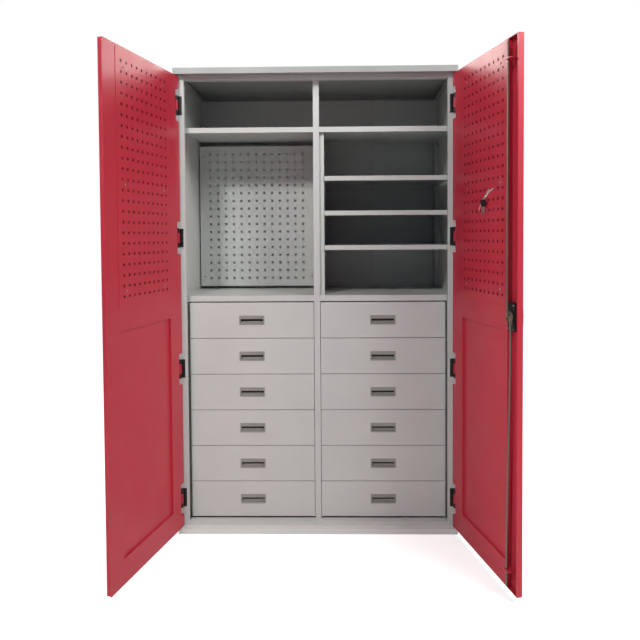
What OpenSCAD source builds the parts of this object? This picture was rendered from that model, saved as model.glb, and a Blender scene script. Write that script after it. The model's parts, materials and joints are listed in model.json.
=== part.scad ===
// Double-door steel tool cabinet: open compartments above, twelve drawers below,
// perforated tool panels inside both doors and at the back of the left bay.
// Millimetres, +Z up, front towards -Y, origin at the centre of the base on the floor.
// The doors are drawn open, the drawers closed and the lock released.

/* [Carcass] */
// Overall width
cab_w = 1190; // [1100:5:1300]
// Overall height
cab_h = 1975; // [1900:5:2100]
// Overall depth, with the cap and the base
cab_d = 600; // [560:5:700]
// Thickness of the sheet steel
sheet = 1.5; // [1:0.1:2]
// Height of the base tray
base_h = 22; // [15:1:40]
// Height of the top cap
cap_h = 25; // [20:1:50]
// How far the cap and the base stand in front of the stiles
overhang = 40; // [38:1:50]
// Width of the underside fold of cap and base at the sides and back
tray_fold = 20; // [10:1:30]
// Width of each front stile
stile_w = 36.5; // [36:0.5:40]
// Depth of the fold behind a stile's inner edge
stile_fold = 20; // [10:1:28]
// Width of the fold at the rear edge of a side panel
rear_fold = 20; // [10:1:30]
// Height of the sill above the base
sill_h = 15; // [12:1:30]
// Height of the header rail under the cap
header_h = 15; // [12:1:30]
// How far drawer fronts and shelf lips sit behind the stiles
recess = 45; // [43:1:60]
// Width of the posts and partitions in the middle
post_w = 26; // [24:1:28]
// Depth of the short post in the top compartment
post_d = 20; // [12:1:40]
// Depth of the pressed ribs in the back panel
rib_d = 6; // [3:1:10]
// Width of a pressed rib
rib_w = 60; // [40:1:90]

/* [Shelves] */
// Clear height of the top compartment, from its shelf to the underside of the cap
top_room = 212; // [150:1:260]
// Height of the front lip of the top shelf
top_lip = 22; // [15:1:35]
// Height of the front lip of the middle shelf
middle_lip = 25; // [15:1:35]
// Depth of the fold under a fixed shelf's lip
lip_fold = 15; // [8:1:25]
// Number of adjustable shelves
shelf_count = 3; // [1:1:3]
// Height of the lowest adjustable shelf above the middle shelf
shelf_first = 216; // [100:1:240]
// Height from one adjustable shelf to the next
shelf_pitch = 150; // [80:1:170]
// Height of an adjustable shelf's edges
shelf_lip = 20; // [15:1:30]
// Gap between an adjustable shelf and the uprights
shelf_gap = 1; // [0.5:0.1:1.5]
// Space behind the adjustable shelves
shelf_rear_gap = 13; // [5:1:40]
// Width of a slotted shelf upright across the bay
upright_w = 20; // [16:1:26]
// Depth of a slotted shelf upright
upright_d = 30; // [24:1:40]
// How far the front uprights sit behind the shelf lips
upright_set = 20; // [14:1:40]
// Height pitch of the slots in an upright
slot_pitch = 25; // [20:1:40]
// How far the adjustable shelves sit behind the fixed shelves' lips
shelf_set = 11; // [9:1:30]
// Height of a slot in an upright
slot_h = 4; // [3:0.5:6]
// Length of a slot in an upright
slot_l = 14; // [12:1:18]
// Length of the part of a clip that carries the shelf
clip_l = 20; // [15:1:28]
// Width of a shelf clip
clip_w = 12; // [8:1:12]
// Height of a shelf clip
clip_h = 10; // [6:1:14]
// Thickness of a shelf clip
clip_t = 2; // [1:0.1:3]

/* [Tool panels] */
// Distance between holes of a perforated panel
peg_pitch = 38; // [30:1:50]
// Side of a square hole
peg_hole = 10; // [6:0.5:14]
// Distance from the front of the inner frame to the back tool panel
back_peg_set = 413; // [380:1:440]
// Depth of the folds at the edges of the back tool panel
back_peg_fold = 12; // [8:1:20]
// Gap between the back tool panel and the side wall
back_peg_side_gap = 5.5; // [2:0.5:15]
// Gap between the back tool panel and the partition
back_peg_post_gap = 16; // [2:1:30]
// Gap under the back tool panel
back_peg_low_gap = 13; // [5:1:40]
// Gap above the back tool panel
back_peg_top_gap = 4; // [2:1:40]
// Smallest distance from an outer hole to the far and lower edges of a door's tool panel
peg_margin = 29; // [20:1:40]
// Smallest distance from an outer hole to the side edges of the back tool panel
back_peg_side = 45; // [20:1:60]
// Smallest distance from an outer hole to the upper and lower edges of the back tool panel
back_peg_end = 35; // [20:1:60]
// Distance from the back tool panel's screws to its upper and lower edges
back_screw_end = 48; // [20:1:80]
// Diameter of the screws that hold a tool panel
panel_screw_d = 9; // [6:0.5:12]
// Height of a panel screw's head
panel_screw_h = 2; // [1:0.1:3]
// Diameter of a spacer behind the back tool panel
spacer_d = 12; // [10:1:14]
// Gap between a spacer and the folds beside it
spacer_gap = 1.5; // [0.5:0.1:5]

/* [Drawers] */
// Number of drawers in a column
drawer_rows = 6; // [2:1:6]
// Height from one drawer to the next
drawer_pitch = 157; // [120:1:160]
// Gap between the sill and the lowest drawer
drawer_floor_gap = 6; // [3:1:15]
// Gap between the fronts of two drawers
drawer_gap = 2.5; // [1:0.5:5]
// Gap between a drawer's front and the post
drawer_post_gap = 2; // [1:0.5:3]
// Gap between a drawer's front and the line of the stile
drawer_stile_gap = 4.5; // [2:0.5:10]
// Depth of the folded drawer front
front_d = 16; // [12:1:25]
// Free depth behind the drawer trays, in front of the back sheet's ribs
tray_rear_gap = 21.5; // [15:0.5:81]
// Height of the drawer tray
tray_h = 120; // [60:1:125]
// Height of the tray's floor above the lower edge of the front
tray_rise = 8; // [4:1:15]
// Space for a runner at each side of the tray
runner_room = 6; // [5:0.5:8]
// Height of a drawer runner
runner_h = 14; // [10:1:24]
// Height of the runners above the tray's floor
runner_rise = 50; // [20:1:55]
// Sliding gap round a runner
runner_gap = 0.4; // [0.3:0.1:0.8]
// Gap between the drawer's front pan and its runners
runner_set = 2; // [1:0.5:6]
// How much shorter a runner is than the tray
runner_short = 4; // [2:1:20]
// Thickness of a drawer rail
rail_t = 1.2; // [0.8:0.1:1.4]
// Gap between the drawer's front pan and the rails
rail_set = 5; // [2:1:20]
// How much shorter a rail is than the tray
rail_short = 15; // [5:1:60]
// Number of uprights that carry the outer rails of a column
rail_posts = 3; // [2:1:4]
// Width of those uprights
rail_post_w = 25; // [15:1:40]
// Width of a pull
pull_w = 110; // [90:1:140]
// Height of a pull
pull_h = 41; // [34:1:50]
// Width of the flange round a pull
pull_flange = 4; // [3:0.5:6]
// Thickness of the flange of a pull
pull_flange_t = 1.5; // [1:0.1:2]
// Depth of the finger pocket of a pull
pull_depth = 15; // [12:1:15]
// Wall of the finger pocket
pull_wall = 1.6; // [1:0.1:2.5]
// Height of the hood that covers the upper part of the pocket
pull_hood = 11; // [8:1:12]
// Height of the ramp from the pocket's lower edge to its back
pull_ramp = 11; // [4:1:12]

/* [Doors] */
// Opening angle at which the left door is drawn
left_open = 101.4; // [60:0.1:108]
// Opening angle at which the right door is drawn
right_open = 102; // [60:0.1:108]
// Thickness of a door
door_t = 20; // [19:0.5:22]
// Gap between a closed door and the stiles
door_clear = 7; // [6:0.5:9]
// Gap between the two closed doors
door_gap = 3.5; // [2:0.5:6]
// Gap between a door and the base
door_low_gap = 3; // [2:0.5:8]
// Gap between a door and the cap
door_top_gap = 5; // [2:0.5:10]
// Distance from the cabinet's side to the hinge axis
hinge_inset = 8; // [8:0.5:9]
// Distance from the stiles forward to the hinge axis
hinge_forward = 16; // [15:0.5:18]
// How far a door reaches beyond its hinge axis
door_heel = 6; // [4:0.5:7]
// Height of the shallow field in the lower half of a door
field_h = 817; // [600:1:830]
// Width of the frame below that field
field_low = 92; // [60:1:120]
// Depth of that field
field_depth = 8; // [4:0.5:14]
// Distance from the hinge axis to that field
field_start = 98; // [80:1:120]
// Width of the frame beside the field, towards the free edge
field_side = 84; // [83:1:100]
// Height of the frame between the field and the tool panel
mid_rail_h = 81; // [60:1:120]
// Gap from the top of the tool panel to the top of the door
panel_top_gap = 8; // [4:1:20]
// Thickness of the tool panel on a door
panel_t = 1; // [0.8:0.1:2]
// Overlap of a tool panel on the frame behind it
panel_lap = 14; // [8:1:16]
// Distance from the first holes to the hinge side edge of the tool panel
peg_first = 30; // [24:1:40]
// Distance from the top row of holes to the top of the tool panel
peg_top = 44; // [30:1:60]
// Width of the channel for the rods inside the right door's free edge
rod_channel = 75; // [72:1:78]
// Width of the fold at the right door's free edge
edge_fold = 8; // [5:1:8]
// How far the left door's meeting strip reaches past its free edge
strip_reach = 12; // [8:1:14]
// Width of that strip's seat on the left door
strip_seat = 24; // [12:1:40]
// Overlap of the strip's seat and its stepped edge
strip_step = 4; // [2:0.5:8]
// Gap between the stepped edge and the closed right door
strip_gap = 0.6; // [0.4:0.1:1]

/* [Hinges] */
// Number of hinges on each door
hinge_count = 4; // [2:1:4]
// Distance from one hinge to the next
hinge_pitch = 560; // [400:5:580]
// Height of a hinge bracket
hinge_h = 78; // [60:1:100]
// Height of each ear of a hinge bracket
ear_h = 18; // [12:1:22]
// Outer radius of ears and knuckles
ear_r = 8; // [7:0.1:8]
// Thickness of the web that carries an ear
ear_web = 7; // [5:0.5:8]
// Width of the bracket's plate on the stile
hinge_plate_w = 25; // [20:1:30]
// Distance from the cabinet's side to that plate
hinge_plate_set = 3; // [1:0.5:4]
// Thickness of the bracket's plate
hinge_plate_t = 3; // [2:0.1:3]
// Diameter of a hinge pin
hinge_pin_d = 6; // [5:0.1:8]
// Diameter of a hinge pin's head
pin_head_d = 9; // [8.5:0.5:14]
// Height of a hinge pin's head
pin_head_h = 2; // [1:0.5:4]
// Radial running clearance on a hinge pin
pin_fit = 0.05; // [0.02:0.01:0.09]
// Gap between a knuckle and the ears above and below it
knuckle_gap = 0.5; // [0.3:0.1:1]
// Height of the opening in the door's edge round a hinge
notch_h = 135; // [110:1:160]
// Depth of that opening
notch_d = 24; // [20:1:30]
// Height of the leaf that fixes a knuckle to the door
leaf_h = 110; // [60:1:130]
// Gap between the leaf and the bracket's ears
leaf_gap = 2; // [1:0.5:4]
// Thickness of that leaf
leaf_t = 3; // [2:0.1:3]

/* [Lock] */
// Distance from the door's free edge to the lock's axis
lock_inset = 38; // [36:0.5:40]
// Height of the lock's axis above the floor
lock_z = 987; // [800:1:1100]
// Width of the lock housing
lock_w = 54; // [48:1:56]
// Height of the lock housing
lock_h = 96; // [80:1:130]
// Thickness of the plate on the outside of the door
plate_t = 3; // [2:0.5:6]
// How far that plate covers the edge of its opening
plate_lap = 5; // [3:0.5:5]
// Diameter of the lock spindle
spindle_d = 12; // [10:0.5:14]
// Radial running clearance on the spindle
spindle_fit = 0.06; // [0.02:0.01:0.09]
// Length of the wing handle
wing_l = 90; // [70:1:96]
// Width of the wing handle
wing_w = 20; // [14:1:26]
// Depth of the wing handle
wing_t = 10; // [8:1:18]
// Diameter of the handle's hub
hub_d = 30; // [24:1:42]
// Length of the handle's hub
hub_l = 3; // [2:1:16]
// Diameter of the lock cylinder's face
cylinder_d = 17; // [14:0.5:19]
// How far the lock cylinder stands proud of the handle
cylinder_rise = 1; // [1:0.1:4]
// Gap between the handle and its plate
handle_gap = 0.3; // [0.2:0.1:1]
// Radius of the cam disc
cam_r = 20; // [18:0.5:20]
// Thickness of the cam disc
cam_t = 4; // [2:0.1:5]
// Gap between the lock housing and the cam
cam_gap = 1.5; // [0.5:0.1:3]
// Gap between the rods' slots and the front of sill and header
slot_set = 0.6; // [0.2:0.1:2]
// Travel of each rod
rod_travel = 20; // [14:0.5:20]
// Diameter of a cam pin
cam_pin_d = 5; // [4:0.1:6]
// Gap between a cam pin and the slot of a rod end
cam_pin_gap = 0.8; // [0.6:0.1:1.2]
// Gap between the cam disc and the rod ends
rod_end_gap = 0.5; // [0.3:0.1:1]
// Thickness of a rod's flattened end
rod_end_t = 4; // [3:0.1:5]
// Height of a rod's flattened end at its slot
rod_end_h = 13; // [12:0.5:14]
// Overlap of a rod with its flattened end
rod_end_lap = 4; // [2:0.5:8]
// Gap between the cam disc and the round part of a rod
rod_cam_gap = 2; // [1:0.5:6]
// Diameter of the lock rods
rod_d = 8; // [6:0.5:10]
// Gap between a drawn-back rod and the sill or the header
rod_gap = 8; // [4:0.5:16]
// Radial gap of a rod in its guide and in the slots
rod_fit = 0.6; // [0.4:0.1:1]
// Distance from a door's end to the rod guide's middle
guide_set = 78; // [60:1:120]
// Length of a rod guide
guide_l = 2.5; // [2:0.5:24]
// How far a rod guide reaches from the rod towards the door's free edge
guide_reach = 28; // [20:1:34]
// Wall round the rod in a guide
guide_wall = 3; // [2:0.5:3]
// Length of the straight stretch of the lower rod at each end
rod_straight = 150; // [130:5:250]

/* [Keys] */
// Column of holes that carries the keys, counted from the hinge
key_column = 8; // [3:1:8]
// Row of holes that carries the keys, counted from the top
key_row = 13; // [6:1:16]
// Width of the tie through the tool panel
tie_w = 3; // [2:0.5:5]
// Thickness of the tie
tie_t = 1.4; // [1:0.1:2]
// Length of the tie's free tail
tie_tail = 80; // [40:1:110]
// Angle of that tail below the horizontal
tie_angle = 37; // [20:1:80]
// Distance from the middle of the tie sideways to its lock
tie_side = 42; // [19:1:45]
// Distance from the middle of the tie down to its lock
tie_drop = 24; // [15:1:40]
// Width and height of the tie's lock
tie_lock = 8; // [6:0.5:10]
// Diameter of a key's head
key_head_d = 26; // [20:1:30]
// Thickness of a key's head
key_head_t = 4; // [3:0.1:5]
// Length of a key's blade
key_blade_l = 30; // [20:1:36]
// Width of a key's blade
key_blade_w = 8; // [6:0.5:10]
// Thickness of a key's blade
key_blade_t = 2; // [1.5:0.1:3]
// Diameter of the hole in a key's head
key_hole_d = 4; // [3:0.5:6]
// Distance from that hole to the edge of the head
key_hole_set = 3; // [2:0.5:5]
// Gap between the tie, the keys and the tool panel
key_gap = 1; // [0.5:0.1:2]
// Distance from the tie's lock sideways to the first key
first_key = -22; // [-24:1:-12]
// Distance from the tie's lock sideways to the second key
second_key = 1; // [-6:1:12]
// Distance from the tie's lock down to the keys
key_drop = 12; // [6:1:16]
// Angle at which the first key hangs
first_swing = 4; // [-20:1:20]
// Angle at which the second key hangs
second_swing = -5; // [-20:1:0]

/* [Hidden] */
$fn = 48;
eps = 0.01;
fit = 0.1;

// Planes of the carcass
side_x = cab_w / 2;
wall_x = side_x - sheet;
front_y = -cab_d / 2;
rear_y = cab_d / 2;
back_y = rear_y - sheet;
face_y = front_y + overhang;
frame_y = face_y + recess;
stile_x = side_x - stile_w;
cap_z = cab_h - cap_h;
post_x = post_w / 2;

// Levels, from the floor up
floor_z = base_h + sheet;
sill_z = base_h + sill_h;
drawers_z = sill_z + drawer_floor_gap;
drawers_top = drawers_z + drawer_rows * drawer_pitch;
middle_z = drawers_top + drawer_gap + middle_lip;
header_z = cap_z - header_h;
top_z = cap_z - top_room;
top_under = top_z - top_lip;

// Door planes, in a frame with its origin on the hinge axis, X along the closed door
// towards its free edge and Y towards the inside of the cabinet
hinge_x = side_x - hinge_inset;
hinge_y = face_y - hinge_forward;
door_in = hinge_forward - door_clear;
door_out = door_in - door_t;
door_end = hinge_x - door_gap / 2;
door_low = base_h + door_low_gap;
door_top = cap_z - door_top_gap;
skin_in = door_out + sheet;
liner_y = door_in - sheet;
leaf_y = skin_in + fit;
field_end = door_end - field_side;
field_z = door_low + field_low;
field_top = field_z + field_h;
panel_z = field_top + mid_rail_h;
panel_top = door_top - panel_top_gap;
liner_end = door_end - sheet - rod_channel;
panel_x0 = field_start;
panel_x1 = liner_end - panel_t;
hinge_mid = (door_low + door_top) / 2;
hinge_z = [for (i = [0 : hinge_count - 1]) hinge_mid + (i - (hinge_count - 1) / 2) * hinge_pitch];

// Holes of the tool panels
door_cols = floor((panel_x1 - panel_x0 - peg_first - peg_margin) / peg_pitch) + 1;
door_rows = floor((panel_top - panel_z - peg_top - peg_margin) / peg_pitch) + 1;
peg_x0 = panel_x0 + peg_first;
peg_z0 = panel_top - peg_top - (door_rows - 1) * peg_pitch;
back_peg_y = frame_y + back_peg_set;
back_peg_x0 = -wall_x + back_peg_side_gap;
back_peg_x1 = -post_x - back_peg_post_gap;
back_peg_z0 = middle_z + back_peg_low_gap;
back_peg_z1 = top_under - back_peg_top_gap;
back_cols = floor((back_peg_x1 - back_peg_x0 - 2 * back_peg_side) / peg_pitch) + 1;
back_rows = floor((back_peg_z1 - back_peg_z0 - 2 * back_peg_end) / peg_pitch) + 1;
door_screw_x = [peg_x0 + peg_pitch / 2, peg_x0 + (door_cols - 1.5) * peg_pitch];
door_screw_rows = [0, floor((door_rows - 3) / 2), door_rows - 2];

// Lock: rods, cam and the axis that they share
lock_x = door_end - lock_inset;
crank = rod_travel / sqrt(2);
crank_off = crank * cos(45);
rod_y = hinge_forward + sheet + slot_set + rod_d / 2 + rod_fit;
rod_end_y0 = rod_y - rod_end_t / 2;
rod_end_y1 = rod_y + rod_end_t / 2;
cam_y0 = rod_end_y0 - rod_end_gap - cam_t;
housing_y = cam_y0 - cam_gap;
rod_end_w = crank - crank_off + cam_pin_d + 2 * cam_pin_gap + 2 * guide_wall;
rod_end_l = crank_off + cam_r + rod_cam_gap + rod_end_lap;
rod_offset = (crank + crank_off) / 2;
upper_rod_x = lock_x - rod_offset;
lower_rod_x = lock_x + rod_offset;
rod_low_end = sill_z + rod_gap;
rod_high_end = header_z - rod_gap;
slot_x = -(hinge_x - upper_rod_x);
slot_y = hinge_y + rod_y;
slot_r = rod_d / 2 + rod_fit;

// Drawer fronts, trays and rails, for the right column
front_x0 = post_x + drawer_post_gap;
front_x1 = stile_x - drawer_stile_gap;
tray_x0 = front_x0 + runner_room;
tray_x1 = front_x1 - runner_room;
tray_l = back_y - rib_d - tray_rear_gap - frame_y - front_d;
rail_y0 = frame_y + front_d + rail_set;
rail_l = tray_l - rail_short;
rail_x = front_x1 + drawer_post_gap;
drawer_zs = [for (i = [0 : drawer_rows - 1]) drawers_top - (i + 1) * drawer_pitch];
pull_x = (front_x0 + front_x1) / 2;

// Adjustable shelves
shelf_zs = [for (i = [0 : shelf_count - 1]) middle_z + shelf_first + (shelf_count - 1 - i) * shelf_pitch];
shelf_x0 = post_x + upright_w + shelf_gap;
shelf_x1 = wall_x - upright_w - shelf_gap;
shelf_y0 = frame_y + shelf_set;
shelf_y1 = back_y - rib_d - shelf_rear_gap;
upright_y0 = frame_y + upright_set;
upright_y1 = shelf_y1 - upright_d - shelf_set / 2;

// Where the tie passes through the tool panel
tie_x = peg_x0 + (key_column - 1.5) * peg_pitch;
tie_z = panel_top - peg_top - (key_row - 1) * peg_pitch;
tie_y = door_in + panel_t;
knot = [-tie_side, -tie_drop];
tail = knot - tie_tail * [cos(tie_angle), sin(tie_angle)];

DRAWERS = [for (side = ["left", "right"]) for (i = [1 : drawer_rows]) str(side, "_drawer_", i)];

// Box from its lowest to its highest corner
module block(low, high) {
    translate(low) cube(high - low);
}

// Places a closed door's pieces at the open left or right door
module on_left_door() {
    translate([-hinge_x, hinge_y, 0]) rotate([0, 0, -left_open]) children();
}

module on_right_door() {
    mirror([1, 0, 0]) translate([-hinge_x, hinge_y, 0]) rotate([0, 0, -right_open]) children();
}

// Draws on the left and mirrored on the right
module both_sides() {
    children();
    mirror([1, 0, 0]) children();
}

// Shallow folded tray, closed at the bottom, with a fold along each edge of its open top
module folded_tray(h) {
    difference() {
        block([-side_x, front_y, 0], [side_x, rear_y, h]);
        block([-wall_x, front_y + sheet, sheet], [wall_x, back_y, h - sheet]);
        block([-side_x + tray_fold, face_y + sheet, sheet],
            [side_x - tray_fold, rear_y - tray_fold, h + eps]);
    }
}

module top_cap() {
    color("lightgray") translate([0, 0, cab_h]) mirror([0, 0, 1]) folded_tray(cap_h);
}

module base_tray() {
    color("lightgray") folded_tray(base_h);
}

// Side wall with the stile folded at its front and a narrow fold at its back
module side_panel() {
    translate([0, 0, base_h]) linear_extrude(cap_z - base_h) union() {
        translate([-side_x, face_y]) square([sheet, back_y - face_y]);
        translate([-side_x, face_y]) square([stile_w, sheet]);
        translate([-stile_x - sheet, face_y]) square([sheet, stile_fold]);
        translate([-side_x, back_y - sheet]) square([rear_fold, sheet]);
    }
}

module left_side_panel() {
    color("lightgray") side_panel();
}

module right_side_panel() {
    color("lightgray") mirror([1, 0, 0]) side_panel();
}

// Back sheet with two ribs pressed inwards
module back_panel() {
    color("lightgray") translate([0, 0, base_h]) linear_extrude(cap_z - base_h) difference() {
        union() {
            translate([-side_x, back_y]) square([cab_w, sheet]);
            for (s = [-1, 1]) {
                translate([s * cab_w / 4 - rib_w / 2, back_y - rib_d]) square([rib_w, rib_d + sheet]);
            }
        }
        for (s = [-1, 1]) {
            translate([s * cab_w / 4 - rib_w / 2 + sheet, back_y - rib_d + sheet]) {
                square([rib_w - 2 * sheet, rib_d + sheet]);
            }
        }
    }
}

// Opening for a rod's end, in the sill and in the header
module rod_slot(z) {
    block([slot_x - slot_r, slot_y - slot_r, z - 2 * sheet],
        [slot_x + slot_r, slot_y + slot_r, z + 2 * sheet]);
}

// Floor sheet with the sill folded up at its front
module floor_panel() {
    x = stile_x - fit;
    w = wall_x - fit;
    color("lightgray") difference() {
        union() {
            block([-x, face_y, base_h], [x, face_y + sheet, sill_z]);
            block([-x, face_y, sill_z - sheet], [x, frame_y, sill_z]);
            block([-x, frame_y - sheet, base_h], [x, frame_y, sill_z]);
            block([-x, face_y, base_h], [x, frame_y, floor_z]);
            block([-w, frame_y - sheet, base_h], [w, back_y - rib_d - fit, floor_z]);
        }
        rod_slot(sill_z);
    }
}

module header_rail() {
    x = stile_x - fit;
    color("lightgray") difference() {
        union() {
            block([-x, face_y, header_z], [x, face_y + sheet, cap_z]);
            block([-x, face_y, header_z], [x, frame_y, header_z + sheet]);
            block([-x, frame_y - sheet, header_z], [x, frame_y, cap_z]);
        }
        rod_slot(header_z);
    }
}

// Fixed shelf across the whole cabinet, with a folded front lip
module fixed_shelf(z, lip) {
    w = wall_x - fit;
    block([-w, frame_y, z - sheet], [w, back_y - rib_d - fit, z]);
    block([-w, frame_y, z - lip], [w, frame_y + sheet, z]);
    block([-w, frame_y, z - lip], [w, frame_y + lip_fold, z - lip + sheet]);
}

module top_shelf() {
    color("lightgray") fixed_shelf(top_z, top_lip);
}

module middle_shelf() {
    color("lightgray") fixed_shelf(middle_z, middle_lip);
}

// Hollow upright from the line of the shelf lips to a given depth
module hollow_post(z0, z1, d) {
    translate([-post_x, frame_y, z0]) linear_extrude(z1 - z0) difference() {
        square([post_w, d]);
        translate([sheet, sheet]) square([post_w - 2 * sheet, d - 2 * sheet]);
    }
}

module top_post() {
    color("lightgray") hollow_post(top_z, cab_h - sheet, post_d);
}

module bay_partition() {
    color("lightgray") hollow_post(middle_z, top_under, back_y - frame_y);
}

module drawer_partition() {
    color("lightgray") hollow_post(floor_z, middle_z - middle_lip, back_y - frame_y);
}

// Slotted angle that carries the shelf clips, its flat face to the front
module shelf_upright(y, x, side) {
    h = top_under - middle_z;
    slots = floor((h - 2 * slot_pitch) / slot_pitch);
    web_x = side > 0 ? x + upright_w - sheet : x;
    block([x, y, middle_z], [x + upright_w, y + sheet, top_under]);
    difference() {
        block([web_x, y, middle_z], [web_x + sheet, y + upright_d, top_under]);
        for (i = [1 : slots]) {
            translate([web_x - 1, y + (upright_d - slot_l) / 2, middle_z + i * slot_pitch]) {
                cube([sheet + 2, slot_l, slot_h]);
            }
        }
    }
}

module shelf_uprights() {
    color("lightgray") for (y = [upright_y0, upright_y1]) {
        shelf_upright(y, post_x, 1);
        shelf_upright(y, wall_x - upright_w, -1);
    }
}

module adjustable_shelves() {
    color("lightgray") for (z = shelf_zs) {
        difference() {
            block([shelf_x0, shelf_y0, z - shelf_lip], [shelf_x1, shelf_y1, z]);
            block([shelf_x0 + sheet, shelf_y0 + sheet, z - shelf_lip - 1],
                [shelf_x1 - sheet, shelf_y1 - sheet, z - sheet]);
        }
    }
}

// Clips under the four corners of each adjustable shelf
module shelf_clips() {
    mid_x = (post_x + wall_x) / 2;
    reach = (wall_x - post_x) / 2 - upright_w;
    color("silver") for (z = shelf_zs, y = [upright_y0, upright_y1], side = [0, 1]) {
        translate([mid_x, y + (upright_d - clip_w) / 2, z - shelf_lip]) mirror([side, 0, 0]) {
            block([reach - clip_l, 0, -clip_t], [reach, clip_w, 0]);
            block([reach - clip_t, 0, -clip_h], [reach, clip_w, 0]);
        }
    }
}

// Sheet with rows and columns of square holes, in the XZ plane, thickness along +Y
module perforated(w, h, t, x0, z0, cols, rows) {
    rotate([90, 0, 0]) translate([0, 0, -t]) linear_extrude(t) difference() {
        square([w, h]);
        for (c = [0 : cols - 1]) {
            for (r = [0 : rows - 1]) {
                translate([x0 + c * peg_pitch - peg_hole / 2, z0 + r * peg_pitch - peg_hole / 2]) {
                    square(peg_hole);
                }
            }
        }
    }
}

module back_tool_panel() {
    w = back_peg_x1 - back_peg_x0;
    h = back_peg_z1 - back_peg_z0;
    x0 = (w - (back_cols - 1) * peg_pitch) / 2;
    z0 = (h - (back_rows - 1) * peg_pitch) / 2;
    color("lightgray") translate([back_peg_x0, back_peg_y, back_peg_z0]) {
        perforated(w, h, sheet, x0, z0, back_cols, back_rows);
        block([0, 0, 0], [sheet, back_peg_fold, h]);
        block([w - sheet, 0, 0], [w, back_peg_fold, h]);
        block([0, 0, 0], [w, back_peg_fold, sheet]);
        block([0, 0, h - sheet], [w, back_peg_fold, h]);
    }
}

// Four screws with the spacers that hold the back tool panel off the back
module back_panel_fixings() {
    side_screw = -side_x + rear_fold + spacer_gap + spacer_d / 2;
    post_screw = back_peg_x1 - sheet - spacer_gap - spacer_d / 2;
    color("silver") for (x = [side_screw, post_screw]) {
        for (z = [back_peg_z0 + back_screw_end, back_peg_z1 - back_screw_end]) {
            translate([x, back_peg_y, z]) rotate([90, 0, 0]) {
                cylinder(d = panel_screw_d, h = panel_screw_h);
            }
            translate([x, back_y, z]) rotate([90, 0, 0]) {
                cylinder(d = spacer_d, h = back_y - back_peg_y - sheet);
            }
        }
    }
}

// Black bracket on a stile with two bored ears
module hinge_bracket(z) {
    difference() {
        union() {
            translate([-side_x + hinge_plate_set, face_y - hinge_plate_t, z - hinge_h / 2]) {
                cube([hinge_plate_w, hinge_plate_t, hinge_h]);
            }
            for (s = [-1, 1]) {
                translate([-hinge_x, hinge_y, z + s * (hinge_h - ear_h) / 2 - ear_h / 2]) {
                    cylinder(r = ear_r, h = ear_h);
                    block([-ear_web / 2, 0, 0], [ear_web / 2, hinge_forward - hinge_plate_t + eps, ear_h]);
                }
            }
        }
        translate([-hinge_x, hinge_y, z - hinge_h]) {
            cylinder(d = hinge_pin_d + 2 * pin_fit, h = 2 * hinge_h);
        }
    }
}

module hinge_brackets() {
    color("dimgray") both_sides() for (z = hinge_z) hinge_bracket(z);
}

module hinge_pins() {
    color("silver") both_sides() for (z = hinge_z) translate([-hinge_x, hinge_y, z]) {
        translate([0, 0, -hinge_h / 2]) cylinder(d = hinge_pin_d, h = hinge_h);
        translate([0, 0, hinge_h / 2]) cylinder(d = pin_head_d, h = pin_head_h);
        translate([0, 0, -hinge_h / 2 - pin_head_h]) cylinder(d = pin_head_d, h = pin_head_h);
    }
}

// Rail that wraps a drawer runner, open towards +X
module drawer_rail(h) {
    depth = runner_room - runner_gap;
    mouth = h / 2 + runner_gap;
    difference() {
        block([0, 0, -mouth - rail_t], [depth, rail_l, mouth + rail_t]);
        block([rail_t, -1, -mouth], [depth + 1, rail_l + 1, mouth]);
    }
}

// Rails for all drawers, with the uprights between the outer rails and the side walls
module drawer_rails() {
    color("silver") both_sides() {
        for (z = drawer_zs) {
            translate([0, rail_y0, z + tray_rise + runner_rise]) {
                translate([post_x, 0, 0]) drawer_rail(runner_h);
                translate([rail_x, 0, 0]) mirror([1, 0, 0]) drawer_rail(runner_h);
            }
        }
        for (i = [0 : rail_posts - 1]) {
            y = rail_y0 + i * (rail_l - rail_post_w) / (rail_posts - 1);
            difference() {
                block([rail_x, y, floor_z], [wall_x, y + rail_post_w, middle_z - middle_lip]);
                block([rail_x + sheet, y + sheet, floor_z - 1],
                    [wall_x - sheet, y + rail_post_w - sheet, middle_z]);
            }
        }
    }
}

// Folded drawer front, tray and runners of one drawer, for the right column
module drawer(z) {
    z1 = z + drawer_pitch - drawer_gap;
    tray_y = frame_y + front_d;
    floor_level = z + tray_rise;
    difference() {
        union() {
            difference() {
                block([front_x0, frame_y, z], [front_x1, tray_y, z1]);
                block([front_x0 + sheet, frame_y + sheet, z + sheet],
                    [front_x1 - sheet, tray_y + 1, z1 - sheet]);
            }
            difference() {
                block([tray_x0, tray_y, floor_level], [tray_x1, tray_y + tray_l, floor_level + tray_h]);
                block([tray_x0 + sheet, tray_y + sheet, floor_level + sheet],
                    [tray_x1 - sheet, tray_y + tray_l - sheet, floor_level + tray_h + 1]);
            }
        }
        pull_cut(z);
    }
}

module pull_cut(z) {
    w = pull_w / 2 - pull_flange;
    h = pull_h / 2 - pull_flange;
    mid = pull_z(z);
    block([pull_x - w, frame_y - 1, mid - h], [pull_x + w, frame_y + sheet + 1, mid + h]);
}

function pull_z(z) = z + (drawer_pitch - drawer_gap) / 2;

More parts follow.
